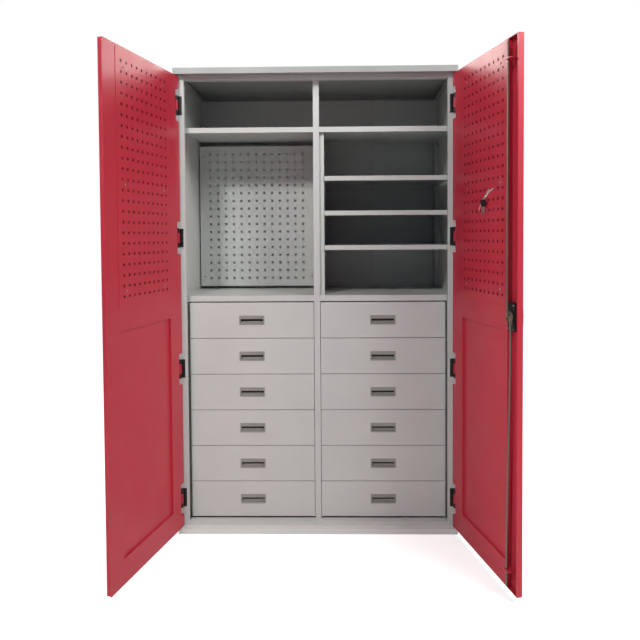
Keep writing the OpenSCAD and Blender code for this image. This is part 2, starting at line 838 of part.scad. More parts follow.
// Moulded pull: flange, finger pocket and the hood over its upper part
module pull(z) {
    w = pull_w / 2;
    h = pull_h / 2;
    pocket_w = w - pull_flange - fit;
    pocket_h = h - pull_flange - fit;
    translate([pull_x, frame_y, pull_z(z)]) difference() {
        union() {
            block([-w, -pull_flange_t, -h], [w, 0, h]);
            block([-pocket_w, -pull_flange_t, -pocket_h], [pocket_w, pull_depth - fit, pocket_h]);
        }
        difference() {
            block([-pocket_w + pull_wall, -pull_flange_t - 1, -pocket_h + pull_wall],
                [pocket_w - pull_wall, pull_depth - pull_wall, pocket_h - pull_wall]);
            block([-w, -pull_flange_t - 2, pocket_h - pull_hood], [w, pull_wall - pull_flange_t, h]);
            pull_wedge(pocket_w, pocket_h);
        }
    }
}

// Ramp that leads the fingers up from the pocket's lower edge
module pull_wedge(w, h) {
    translate([-w, 0, 0]) rotate([90, 0, 90]) linear_extrude(2 * w) {
        polygon([[0, -h], [pull_depth, -h], [pull_depth, pull_ramp - h], [0, pull_wall - h]]);
    }
}

// Outer sheet of a door with its four edges folded inwards
module door_skin(fold) {
    difference() {
        block([-door_heel, door_out, door_low], [door_end, door_in, door_top]);
        block([-door_heel + sheet, skin_in, door_low + sheet],
            [door_end - sheet, door_in + 1, door_top - sheet]);
        hinge_notches();
    }
    if (fold) {
        block([door_end - edge_fold, liner_y, door_low], [door_end, door_in, door_top]);
    }
}

// Openings in the door's hinge side for brackets and knuckles
module hinge_notches() {
    for (z = hinge_z) {
        block([-door_heel - 1, skin_in, z - notch_h / 2], [notch_d, door_in + 1, z + notch_h / 2]);
    }
}

// Inner frame of a door: sheet strips round the tool panel, the shallow field
// and the pockets of the hinges
module door_frame(x_end) {
    x0 = -door_heel + sheet + fit;
    z0 = door_low + sheet + fit;
    z1 = door_top - sheet - fit;
    hole_x0 = panel_x0 + panel_lap;
    hole_x1 = panel_x1 - panel_lap;
    floor_y = door_in - field_depth;
    pocket = notch_h / 2 + sheet;
    difference() {
        union() {
            block([x0, liner_y, z0], [x_end, door_in, z1]);
            block([field_start - sheet, floor_y - sheet, field_z - sheet],
                [field_end + sheet, door_in, field_top + sheet]);
            for (z = hinge_z) {
                block([x0, leaf_y, z - pocket], [notch_d + sheet, door_in, z + pocket]);
            }
        }
        block([hole_x0, liner_y - 1, panel_z + panel_lap], [hole_x1, door_in + 1, panel_top - panel_lap]);
        block([field_start, floor_y, field_z], [field_end, door_in + 1, field_top]);
        hinge_notches();
    }
    for (z = hinge_z) {
        hinge_knuckle(z);
    }
}

// Knuckle between a bracket's ears, with the leaf that fixes it in its pocket
module hinge_knuckle(z) {
    h = hinge_h - 2 * ear_h - 2 * knuckle_gap;
    difference() {
        union() {
            translate([0, 0, z - h / 2]) cylinder(r = ear_r, h = h);
            block([0, leaf_y, z - h / 2], [ear_r, 0, z + h / 2]);
            block([0, leaf_y, z - h / 2], [notch_d + eps, leaf_y + leaf_t, z + h / 2]);
            block([ear_r + leaf_gap, leaf_y, z - leaf_h / 2],
                [notch_d + eps, leaf_y + leaf_t, z + leaf_h / 2]);
        }
        translate([0, 0, z - h]) cylinder(d = hinge_pin_d + 2 * pin_fit, h = 2 * h);
    }
}

module door_tool_panel() {
    w = panel_x1 - panel_x0;
    translate([panel_x0, door_in, panel_z]) {
        perforated(w, panel_top - panel_z, panel_t, peg_first, peg_z0 - panel_z, door_cols, door_rows);
    }
}

module door_screws() {
    for (x = door_screw_x) {
        for (r = door_screw_rows) {
            translate([x, door_in + panel_t, peg_z0 + (r + 0.5) * peg_pitch]) rotate([-90, 0, 0]) {
                cylinder(d = panel_screw_d, h = panel_screw_h);
            }
        }
    }
}

module left_door_skin() {
    color("firebrick") on_left_door() door_skin(false);
}

// The left frame closes the free edge too, and carries the meeting strip
module left_door_frame() {
    strip_h = door_top - door_low - 4 * sheet;
    color("firebrick") on_left_door() {
        door_frame(door_end - sheet - fit);
        translate([door_end, door_in, door_low + 2 * sheet]) linear_extrude(strip_h) {
            translate([-strip_seat, 0]) square([strip_seat, sheet]);
            translate([-strip_step, strip_gap]) square([strip_reach + strip_step, sheet]);
        }
    }
}

module left_door_tool_panel() {
    color("firebrick") on_left_door() door_tool_panel();
}

module left_door_screws() {
    color("silver") on_left_door() door_screws();
}

module right_door_skin() {
    color("firebrick") on_right_door() difference() {
        door_skin(true);
        block([lock_x - lock_w / 2, door_out - 1, lock_z - lock_h / 2],
            [lock_x + lock_w / 2, skin_in + 1, lock_z + lock_h / 2]);
    }
}

// The right frame ends at the channel of the rods with a wall down to the skin
module right_door_frame() {
    color("firebrick") on_right_door() {
        door_frame(liner_end);
        block([liner_end - sheet, skin_in, door_low + sheet + fit],
            [liner_end, door_in, door_top - sheet - fit]);
    }
}

module right_door_tool_panel() {
    color("firebrick") on_right_door() door_tool_panel();
}

module right_door_screws() {
    color("silver") on_right_door() door_screws();
}

// Housing through the skin, with its plate on the outside
module lock_housing() {
    w = lock_w / 2;
    h = lock_h / 2;
    color("dimgray") on_right_door() translate([lock_x, 0, lock_z]) difference() {
        union() {
            block([-w + fit, door_out, -h + fit], [w - fit, housing_y, h - fit]);
            block([-w - plate_lap, door_out - plate_t, -h - plate_lap],
                [w + plate_lap, door_out, h + plate_lap]);
        }
        translate([0, housing_y + 1, 0]) rotate([90, 0, 0]) {
            cylinder(d = spindle_d + 2 * spindle_fit, h = 3 * door_t);
        }
    }
}

// Wing handle, upright when released, with its hub, spindle and lock cylinder
module lock_handle() {
    plate_y = door_out - plate_t - handle_gap;
    color("dimgray") on_right_door() translate([lock_x, plate_y, lock_z]) rotate([90, 0, 0]) {
        cylinder(d = hub_d, h = hub_l);
        translate([0, 0, hub_l]) {
            block([-wing_w / 2, (wing_w - wing_l) / 2, 0], [wing_w / 2, (wing_l - wing_w) / 2, wing_t]);
            for (s = [-1, 1]) {
                translate([0, s * (wing_l - wing_w) / 2, 0]) cylinder(d = wing_w, h = wing_t);
            }
            cylinder(d = cylinder_d, h = wing_t + cylinder_rise);
        }
        translate([0, 0, plate_y - cam_y0]) cylinder(d = spindle_d, h = cam_y0 - plate_y);
    }
}

// Cam disc with the two pins that move the rods
module lock_cam() {
    color("silver") on_right_door() translate([lock_x, cam_y0, lock_z]) rotate([-90, 0, 0]) {
        cylinder(r = cam_r, h = cam_t);
        cylinder(d = spindle_d, h = cam_t + rod_end_gap / 2);
        for (s = [-1, 1]) {
            translate([s * crank_off, -s * crank_off, 0]) {
                cylinder(d = cam_pin_d, h = rod_end_y1 - cam_y0 + 1);
            }
        }
    }
}

// Flattened rod end past the cam, with the slot for a cam pin, drawn upwards from the pin
module rod_end() {
    slot_w = crank - crank_off + cam_pin_d + 2 * cam_pin_gap;
    slot_t = cam_pin_d + 2 * cam_pin_gap;
    difference() {
        block([-rod_end_w / 2, rod_end_y0, -rod_end_h / 2], [rod_end_w / 2, rod_end_y1, rod_end_l]);
        block([-slot_w / 2, rod_end_y0 - 1, -slot_t / 2], [slot_w / 2, rod_end_y1 + 1, slot_t / 2]);
    }
}

module upper_rod() {
    pin_z = lock_z - crank_off;
    start = pin_z + rod_end_l - rod_end_lap;
    color("silver") on_right_door() translate([upper_rod_x, 0, 0]) {
        translate([0, 0, pin_z]) rod_end();
        translate([0, rod_y, start]) cylinder(d = rod_d, h = rod_high_end - start);
    }
}

// The lower rod runs beside the cam at its top and back under the upper rod at its foot
module lower_rod() {
    pin_z = lock_z + crank_off;
    start = pin_z - rod_end_l + rod_end_lap;
    knee_high = start - rod_straight;
    knee_low = rod_low_end + rod_straight;
    shift = lower_rod_x - upper_rod_x;
    slope = atan(shift / (knee_high - knee_low));
    color("silver") on_right_door() {
        translate([lower_rod_x, 0, pin_z]) mirror([0, 0, 1]) rod_end();
        translate([lower_rod_x, rod_y, knee_high - 1]) cylinder(d = rod_d, h = start - knee_high + 1);
        translate([upper_rod_x, rod_y, rod_low_end]) cylinder(d = rod_d, h = knee_low - rod_low_end + 1);
        translate([upper_rod_x, rod_y, knee_low]) rotate([0, slope, 0]) {
            cylinder(d = rod_d - 2 * fit, h = (knee_high - knee_low) / cos(slope));
        }
    }
}

// Bored tabs across the channel that guide the rods near the ends of the door
module rod_guides() {
    w = rod_d / 2 + rod_fit + guide_wall;
    color("firebrick") on_right_door() for (z = [door_low + guide_set, door_top - guide_set]) {
        translate([upper_rod_x, 0, z - guide_l / 2]) difference() {
            block([-w, skin_in, 0], [guide_reach, rod_y + w, guide_l]);
            translate([0, rod_y, -1]) cylinder(d = rod_d + 2 * rod_fit, h = guide_l + 2);
        }
    }
}

// Tie through two holes: two legs, a bridge behind the panel, two strands to the lock, and a tail
module key_tie() {
    leg_x = (peg_pitch - peg_hole + tie_t) / 2;
    bridge_y = -panel_t - key_gap - tie_t;
    color("white") on_right_door() translate([tie_x, tie_y, tie_z]) {
        for (s = [-1, 1]) {
            block([s * leg_x - tie_t / 2, bridge_y, -tie_w / 2],
                [s * leg_x + tie_t / 2, tie_t, tie_w / 2]);
        }
        block([-leg_x, bridge_y, -tie_w / 2], [leg_x, bridge_y + tie_t, tie_w / 2]);
        tie_strand([-leg_x, 0], knot);
        tie_strand([leg_x, 0], knot);
        tie_strand(knot, tail);
        translate([knot[0], fit, knot[1]]) {
            block([-tie_lock / 2, 0, -tie_lock / 2], [tie_lock / 2, tie_lock - fit, tie_lock / 2]);
        }
    }
}

// Straight strand of the tie from one point of the panel's face to another
module tie_strand(a, b) {
    run = b - a;
    translate([a[0], fit, a[1]]) rotate([0, -atan2(run[1], run[0]), 0]) {
        translate([0, 0, -tie_w / 2]) cube([norm(run), tie_t, tie_w]);
    }
}

// Key that hangs from its head's upper edge, turned by an angle
module key(angle) {
    rotate([0, angle, 0]) {
        translate([0, 0, -key_head_d / 2]) rotate([-90, 0, 0]) difference() {
            cylinder(d = key_head_d, h = key_head_t);
            translate([0, key_hole_set + (key_hole_d - key_head_d) / 2, -1]) {
                cylinder(d = key_hole_d, h = key_head_t + 2);
            }
        }
        translate([0, (key_head_t - key_blade_t) / 2, -key_head_d - key_blade_l]) {
            block([-key_blade_w / 2, 0, 0], [key_blade_w / 2, key_blade_t, key_blade_l + key_hole_set]);
        }
    }
}

// Two keys below the tie's lock, side by side and the second a little in front
module keys() {
    first_y = tie_t + 2 * key_gap;
    second_y = first_y + key_head_t + key_gap;
    color("dimgray") on_right_door() translate([tie_x + knot[0], tie_y, tie_z + knot[1] - key_drop]) {
        translate([first_key, first_y, 0]) key(first_swing);
        translate([second_key, second_y, 0]) key(second_swing);
    }
}

// One drawer or pull of either column
module in_column(side) {
    if (side == "left") mirror([1, 0, 0]) children();
    if (side == "right") children();
}

module drawer_with_runners(side, i) {
    z = drawer_zs[i - 1];
    level = z + tray_rise + runner_rise;
    start = frame_y + front_d + runner_set;
    end = start + tray_l - runner_short;
    color("gainsboro") in_column(side) {
        drawer(z);
        block([front_x0 + fit, start, level - runner_h / 2], [tray_x0, end, level + runner_h / 2]);
        block([tray_x1, start, level - runner_h / 2], [front_x1 - fit, end, level + runner_h / 2]);
    }
}

module drawer_pull(side, i) {
    color("gray") in_column(side) pull(drawer_zs[i - 1]);
}

top_cap();
left_side_panel();
right_side_panel();
back_panel();
base_tray();
floor_panel();
header_rail();
top_shelf();
middle_shelf();
top_post();
bay_partition();
drawer_partition();
shelf_uprights();
adjustable_shelves();
shelf_clips();
back_tool_panel();
back_panel_fixings();
hinge_brackets();
hinge_pins();
drawer_rails();
left_door_skin();
left_door_frame();
left_door_tool_panel();
left_door_screws();
right_door_skin();
right_door_frame();
right_door_tool_panel();
right_door_screws();
lock_housing();
lock_handle();
lock_cam();
upper_rod();
lower_rod();
rod_guides();
keys();
key_tie();
for (side = ["left", "right"]) for (i = [1 : drawer_rows]) {
    drawer_with_runners(side, i);
    drawer_pull(side, i);
}
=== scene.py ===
"""Finishes, small fittings, light and camera for a steel tool cabinet with two doors."""
import json
import math

import bmesh
import bpy
from bpy.props import FloatProperty, FloatVectorProperty, IntProperty, PointerProperty
from mathutils import Matrix, Vector


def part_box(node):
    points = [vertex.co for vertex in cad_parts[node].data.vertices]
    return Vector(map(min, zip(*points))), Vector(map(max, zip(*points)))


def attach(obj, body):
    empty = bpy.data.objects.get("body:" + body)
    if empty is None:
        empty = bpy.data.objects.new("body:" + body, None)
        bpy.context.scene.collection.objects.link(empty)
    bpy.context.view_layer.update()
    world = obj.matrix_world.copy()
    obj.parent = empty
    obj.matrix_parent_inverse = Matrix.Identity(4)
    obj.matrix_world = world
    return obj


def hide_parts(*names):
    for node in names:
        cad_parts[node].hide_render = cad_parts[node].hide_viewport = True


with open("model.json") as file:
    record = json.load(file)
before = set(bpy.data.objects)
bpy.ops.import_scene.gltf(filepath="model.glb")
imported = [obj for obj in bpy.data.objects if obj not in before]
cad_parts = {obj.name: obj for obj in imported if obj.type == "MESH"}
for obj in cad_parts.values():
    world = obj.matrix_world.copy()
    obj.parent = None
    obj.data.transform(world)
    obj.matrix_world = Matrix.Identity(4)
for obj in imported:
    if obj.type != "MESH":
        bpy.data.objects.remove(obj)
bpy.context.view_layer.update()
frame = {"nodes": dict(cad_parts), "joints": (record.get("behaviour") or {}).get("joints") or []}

bl_info = {
    "name": "Tool Cabinet Dressing",
    "version": (1, 0, 0),
    "blender": (4, 5, 0),
    "location": "View3D > Sidebar > Cabinet",
    "description": "Paint, pulls, screws, lock, keys, light and camera for a steel tool cabinet",
    "category": "Object",
}

MM = 0.001
SIDES = ("left", "right")
DRAWERS = [name for name in frame["nodes"] if "_drawer_" in name and not name.endswith("_pull")]
TURN = math.tau
CORNERS = ((1, 1), (-1, 1), (-1, -1), (1, -1))

# Camera of the photograph: place in metres, then yaw, pitch and roll in degrees
EYE = (0.102794, -3.139018, 1.268053)
VIEW = (-1.0138, -1.9829, -0.3548)
SHIFT = (-0.01345, -0.09422)
SENSOR = 36

# Lamps: setting with the power, place, aim, size, colour
LAMPS = {
    "Key Lamp": ("key", (-1.337, -4.23, 3.642), (-0.25, 0.13, 1.2), (0.5, 0.5), (1.0, 1.0, 0.98)),
    "Right Lamp": ("broad", (2.6, -2.6, 3.6), (0.0, -0.3, 1.0), (2.0, 2.0), (1.0, 0.99, 0.97)),
    "Left Lamp": ("side", (-4.1, -1.77, 2.54), (0.4, -0.4, 1.4), (0.9, 0.9), (1.0, 0.99, 0.99)),
    "Rear Lamp": ("rear", (0.0, 2.6, 3.3), (0.0, -0.8, 1.7), (4.4, 1.2), (1.0, 0.96, 0.9)),
}


def linear(red, green, blue):
    """Linear colour of a paint that is written as three values from 0 to 255."""
    shares = (c / 255 for c in (red, green, blue))
    return tuple(c / 12.92 if c < 0.0405 else ((c + 0.055) / 1.055) ** 2.4 for c in shares)


# Lighter paint colours for the painted highlight along edges, and the colour of bare steel
GREY_EDGE_HIGHLIGHT = linear(226, 226, 221)
SHADED_CAP_EDGE_HIGHLIGHT = linear(206, 207, 202)
RED_EDGE_HIGHLIGHT = linear(214, 84, 88)
BARE_STEEL = linear(120, 118, 116)


def as_colour(name, description, value):
    return FloatVectorProperty(
        name=name, description=description, subtype="COLOR", size=3, min=0, max=1, default=value,
    )


def as_number(name, description, value, subtype="NONE", low=0, high=10000, unit="NONE"):
    return FloatProperty(
        name=name, description=description, subtype=subtype, unit=unit, min=low, max=high, default=value,
    )


def as_length(name, description, millimetres):
    return as_number(name, description, millimetres * MM, "DISTANCE", unit="LENGTH")


class CabinetPaint(bpy.types.PropertyGroup):
    """Colours and surface of the paint, plastic and metal."""

    grey: as_colour("Grey Paint", "Powder coat of the carcass and the drawers", linear(203, 206, 202))
    # painted shade: how near other sheets must be to darken the paint
    reach: as_length("Painted Shade Reach", "How near another sheet must be to darken the paint as painted shade", 60)
    # painted shade: the cap is painted darker than the carcass grey for the less light that falls on it
    cap_shade: as_number("Cap Painted Shade", "How much darker the cap's grey is painted, as painted shade", 0.61, "FACTOR", 0, 1)
    # painted light: the base tray is painted lighter than the carcass grey for the light that falls on it
    base_light: as_number("Base Painted Light", "How much lighter the base tray's grey is", 1.25, "FACTOR", 1, 1.4)
    red: as_colour("Red Paint", "Powder coat of the doors", linear(196, 46, 64))
    black: as_colour("Black", "Black hinges and lock", linear(16, 16, 18))
    pull: as_colour("Pull Plastic", "Grey plastic of the drawer pulls", linear(152, 152, 146))
    zinc: as_colour("Zinc", "Plated screws, clips and rails", linear(196, 194, 188))
    steel: as_colour("Rod Steel", "Drawn steel of the lock rods", linear(142, 130, 122))
    brass: as_colour("Cam Plating", "Yellow plating of the cam", linear(178, 160, 112))
    nylon: as_colour("Tie Nylon", "White nylon of the key tie", linear(236, 232, 228))
    peel: as_length("Orange Peel Depth", "Depth of the fine waves in the powder coat", 0.16)
    peel_size: as_number("Orange Peel Density", "Waves of the powder coat per metre", 360)
    gloss: as_number("Paint Roughness", "Middle roughness of the powder coat", 0.36, "FACTOR", 0, 1)
    edge: as_length("Edge Rounding", "Radius at which folded edges catch the light", 0.9)


class CabinetPulls(bpy.types.PropertyGroup):
    """Sizes of the moulded pulls beyond those of the frame."""

    flange: as_length("Flange Width", "Width of the rim round the finger pocket", 4)
    corner: as_length("Corner Radius", "Radius of the rim's corners", 2.4)
    rim: as_length("Rim Thickness", "Thickness of the rim on the drawer front", 1.5)
    wall: as_length("Pocket Wall", "Wall of the finger pocket", 1.6)
    hood: as_length("Hood Height", "Height of the hood over the pocket", 11)
    hood_step: as_length("Hood Step", "How far the hood sits behind the rim", 0.6)
    ramp: as_length("Ramp Height", "Height that the ramp climbs to the pocket's back", 9.4)
    # painted shade: a thin black sheet that darkens the pocket under the hood
    painted_shade_sheet: as_length("Shade Sheet Thickness", "Thickness of the black sheet that paints shade behind the hood", 0.3)
    edge: as_length("Edge Radius", "Radius of the moulded edges", 0.45)


class CabinetScrews(bpy.types.PropertyGroup):
    """Sizes of screws and weld spots."""

    panel_head: as_length("Panel Screw", "Head diameter of the tool panels' screws", 9)
    hinge_head: as_length("Hinge Screw", "Head diameter of the hinge screws", 5.5)
    small_head: as_length("Small Screw", "Head diameter of the brackets' screws", 6)
    height: as_length("Head Height", "Height of a screw's head", 2)
    recess: as_length("Recess Width", "Width of each arm of the cross recess", 1.2)
    weld: as_length("Weld Spot", "Diameter of a spot weld", 6)
    weld_pitch: as_length("Weld Pitch", "Distance between spot welds", 120)
    seed: IntProperty(name="Seed", description="Seed for how the recesses are turned", default=7)


class CabinetLock(bpy.types.PropertyGroup):
    """Sizes of the wing handle, cam and key cylinder."""

    wing_edge: as_length("Wing Edge", "Radius of the handle's edges", 2.2)
    hub: as_length("Hub Length", "Length of the hub between the plate and the wing", 3)
    rise: as_length("Cylinder Rise", "How far the key cylinder stands proud of the wing", 1)
    keyway: as_length("Keyway Width", "Width of the slot for the key", 1.8)
    cylinder: as_length("Cylinder Diameter", "Diameter of the key cylinder's face", 17)
    disc: as_length("Cam Thickness", "Thickness of the cam disc", 4)
    clip: as_length("Pin Clip", "Diameter of the clips on the cam pins", 8.6)
    stub: as_length("Centre Screw", "Head diameter of the screw in the cam's middle", 6.6)


class CabinetKeys(bpy.types.PropertyGroup):
    """Sizes of the keys and of the tie that holds them."""

    head: as_length("Key Head", "Diameter of a key's moulded head", 26)
    blade: as_length("Key Blade", "Length of a key's blade", 30)
    tie_width: as_length("Tie Width", "Width of the tie", 3)
    tie_thickness: as_length("Tie Thickness", "Thickness of the tie", 1.4)
    tail: as_length("Tie Tail", "Length of the tie's free tail", 80)
    wire: as_length("Ring Wire", "Thickness of the ring that holds the keys", 1.2)


class CabinetStage(bpy.types.PropertyGroup):
    """Light, floor and camera."""

    key: as_number("Key Light", "Power of the small lamp from the front left", 95, "POWER")
    broad: as_number("Right Light", "Power of the broad high lamp from the right", 130, "POWER")
    side: as_number("Left Light", "Power of the lamp from the far left", 50, "POWER")
    rear: as_number("Rear Light", "Power of the lamp above and behind", 150, "POWER")
    ambient: as_number("Room Light", "Strength of the light from all round", 0.09)
    room: as_colour("Room Colour", "Colour of the light from all round", (0.24, 0.47, 1.0))
    glow: as_number("Floor Glow", "How far the near floor is lifted to white", 0.6, "FACTOR", 0, 1)
    floor: as_colour("Floor", "Pale floor", linear(232, 232, 230))
    focal: as_number("Focal Length", "Camera's focal length", 38.067, "DISTANCE_CAMERA", 1)


GROUPS = {
    "cabinet_paint": CabinetPaint,
    "cabinet_pulls": CabinetPulls,
    "cabinet_screws": CabinetScrews,
    "cabinet_lock": CabinetLock,
    "cabinet_keys": CabinetKeys,
    "cabinet_stage": CabinetStage,
}


def in_mm(group, name):
    return getattr(group, name) / MM


# Places: a door's own millimetres run along the door, towards the cabinet's inside, and up


def door_matrix(side):
    """Matrix from a door's own millimetres to the frame's metres."""
    hinge = next(j for j in frame["joints"] if j["name"] == side + "_door_hinge")
    turn = math.radians(abs(hinge["range_deg"][0]))
    flip = -1 if side == "right" else 1
    cos, sin = math.cos(turn), math.sin(turn)
    x, y = hinge["pos_m"][:2]
    place = Matrix(((flip * cos, flip * sin, 0, x), (-sin, cos, 0, y), (0, 0, 1, 0), (0, 0, 0, 1)))
    return place @ Matrix.Scale(MM, 4)


def cabinet_matrix():
    return Matrix.Scale(MM, 4)


def linked(name, data):
    """New object in the scene, at the origin."""
    obj = bpy.data.objects.new(name, data)
    bpy.context.scene.collection.objects.link(obj)
    return obj


def extent(points):
    """Lowest and highest corner round a list of points."""
    sides = list(zip(*points))
    return Vector(map(min, sides)), Vector(map(max, sides))


def solids(node, matrix):
    """Boxes of a node's separate solids, in the millimetres that the matrix places."""
    back = matrix.inverted()
    bm = bmesh.new()
    bm.from_mesh(frame["nodes"][node].data)
    bmesh.ops.remove_doubles(bm, verts=bm.verts, dist=0.000005)
    left = set(bm.verts)
    found = []
    for start in list(bm.verts):
        if start not in left:
            continue
        left.discard(start)
        group, queue = [], [start]
        while queue:
            vert = queue.pop()
            group.append(back @ vert.co)
            for edge in vert.link_edges:
                other = edge.other_vert(vert)
                if other in left:
                    left.discard(other)
                    queue.append(other)
        found.append(extent(group))
    bm.free()
    return found


def local_box(node, matrix):
    """Box round all of a node's solids."""
    return extent([corner for box in solids(node, matrix) for corner in box])


# Shapes, drawn in millimetres


def bridge(bm, rings):
    """Faces between each ring of points and the next."""
    for a, b in zip(rings, rings[1:]):
        for i in range(len(a)):
            j = (i + 1) % len(a)
            bm.faces.new((a[i], a[j], b[j], b[i]))


def outline_prism(bm, outline, low, high, axis="Y"):
    """Prism of a closed outline. For Y the outline is in X and Z, for X in Y and Z, for Z in X and Y."""
    place = {
        "X": lambda a, b, c: (c, a, b),
        "Y": lambda a, b, c: (a, c, b),
        "Z": lambda a, b, c: (a, b, c),
    }[axis]
    ends = [[bm.verts.new(place(a, b, c)) for a, b in outline] for c in (low, high)]
    bm.faces.new(ends[0])
    bm.faces.new(reversed(ends[1]))
    bridge(bm, ends)


def block(bm, low, high):
    x, y, z = zip(low, high)
    outline_prism(bm, [(x[0], z[0]), (x[1], z[0]), (x[1], z[1]), (x[0], z[1])], y[0], y[1])


def rounded(width, height, radius, steps=4):
    """Outline of a rectangle with rounded corners."""
    points = []
    for i, (sx, sy) in enumerate(CORNERS):
        for k in range(steps + 1):
            angle = math.radians(90 * (i + k / steps))
            x = sx * (width / 2 - radius) + radius * math.cos(angle)
            points.append((x, sy * (height / 2 - radius) + radius * math.sin(angle)))
    return points


def circle(radius, sides=32):
    angles = (TURN * i / sides for i in range(sides))
    return [(radius * math.cos(a), radius * math.sin(a)) for a in angles]


def lathe(bm, profile, sides):
    """Closed turned form round a line along Z, from pairs of radius and height."""
    rings = [[bm.verts.new((x, y, z)) for x, y in circle(r, sides)] for r, z in profile]
    bm.faces.new(reversed(rings[0]))
    bm.faces.new(rings[-1])
    bridge(bm, rings)


def ribbon(bm, path, across, width, thickness):
    """Flat strip with square edges along a path."""
    rings = []
    for i, point in enumerate(path):
        ahead = (path[min(i + 1, len(path) - 1)] - path[max(i - 1, 0)]).normalized()
        side = (across - across.dot(ahead) * ahead).normalized()
        up = ahead.cross(side) * thickness / 2
        side = side * width / 2
        rings.append([bm.verts.new(point + side * a + up * b) for a, b in CORNERS])
    bm.faces.new(rings[0])
    bm.faces.new(reversed(rings[-1]))
    bridge(bm, rings)


def finished(bm):
    """Plain mesh of a bmesh, with its faces outwards."""
    bmesh.ops.recalc_face_normals(bm, faces=bm.faces)
    mesh = bpy.data.meshes.new("shape")
    bm.to_mesh(mesh)
    bm.free()
    return mesh


def shape(draw):
    bm = bmesh.new()
    draw(bm)
    return finished(bm)


def prism(outline, low, high, axis="Y"):
    return shape(lambda bm: outline_prism(bm, outline, low, high, axis))


def turned(profile, sides):
    return shape(lambda bm: lathe(bm, profile, sides))


def blocks(*corners):
    """Mesh of one or more blocks, from pairs of low and high corner."""
    return shape(lambda bm: [block(bm, low, high) for low, high in corners])


def evaluated(obj):
    """Plain mesh of an object with its modifiers applied."""
    return bpy.data.meshes.new_from_object(obj.evaluated_get(bpy.context.evaluated_depsgraph_get()))


def with_modifiers(mesh, add):
    """Result of the modifiers that a function adds to a passing object."""
    maker = linked("maker", mesh)
    others = add(maker) or []
    made = evaluated(maker)
    for obj in [maker, *others]:
        bpy.data.objects.remove(obj)
    if not made.polygons:
        raise RuntimeError("a shape came out empty")
    return made


def combined(mesh, operation, *others):
    """The mesh joined with others, or with others cut out of it."""

    def add(maker):
        made = []
        for other in others:
            tool = linked("tool", other)
            step = maker.modifiers.new("step", "BOOLEAN")
            step.operation = operation
            step.solver = "EXACT"
            step.object = tool
            made.append(tool)
        return made

    return with_modifiers(mesh, add)


def edged(mesh, width, segments=2, angle=32):
    """The mesh with its sharp edges rounded."""

    def add(maker):
        bevel = maker.modifiers.new("bevel", "BEVEL")
        bevel.width = width
        bevel.segments = segments
        bevel.limit_method = "ANGLE"
        bevel.angle_limit = math.radians(angle)
        bevel.use_clamp_overlap = True

    return with_modifiers(mesh, add)


def moved(mesh, matrix):
    """Copy of a mesh at its place, with its faces outwards after a mirrored placing."""
    copy = mesh.copy()
    copy.transform(matrix)
    if matrix.determinant() < 0:
        copy.flip_normals()
    return copy


def joined(meshes):
    bm = bmesh.new()
    for mesh in meshes:
        bm.from_mesh(mesh)
    mesh = bpy.data.meshes.new("joined")
    bm.to_mesh(mesh)
    bm.free()
    return mesh


def piece(name, mesh, coat, body, replaced=()):
    """Object at the origin, with its finish, that rides on a body of the frame."""
    if not mesh.polygons:
        raise RuntimeError(name + " has no faces")
    mesh.name = name
    mesh.materials.clear()
    mesh.materials.append(finish(coat))
    mesh.polygons.foreach_set("material_index", [0] * len(mesh.polygons))
    mesh.polygons.foreach_set("use_smooth", [True] * len(mesh.polygons))
    mesh.set_sharp_from_angle(angle=math.radians(35))
    obj = linked(name, mesh)
    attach(obj, body)
    if replaced:
        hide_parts(*replaced)
    return obj


# Node trees


class Graph:
    """Node tree with short calls for nodes and links."""

    def __init__(self, tree, prefix=""):
        self.tree, self.prefix = tree, prefix

    def node(self, kind, inputs=None, **settings):
        made = self.tree.nodes.new(self.prefix + kind)
        for key, value in settings.items():
            setattr(made, key, value)
        for key, value in (inputs or {}).items():
            for one in value if isinstance(value, list) else [value]:
                if isinstance(one, bpy.types.NodeSocket):
                    self.tree.links.new(one, made.inputs[key])
                else:
                    made.inputs[key].default_value = one
        return made

    def out(self, kind, inputs=None, **settings):
        """First output of a new node."""
        return self.node(kind, inputs, **settings).outputs[0]


# Materials. Noise scales are waves per metre, and bump depths are metres


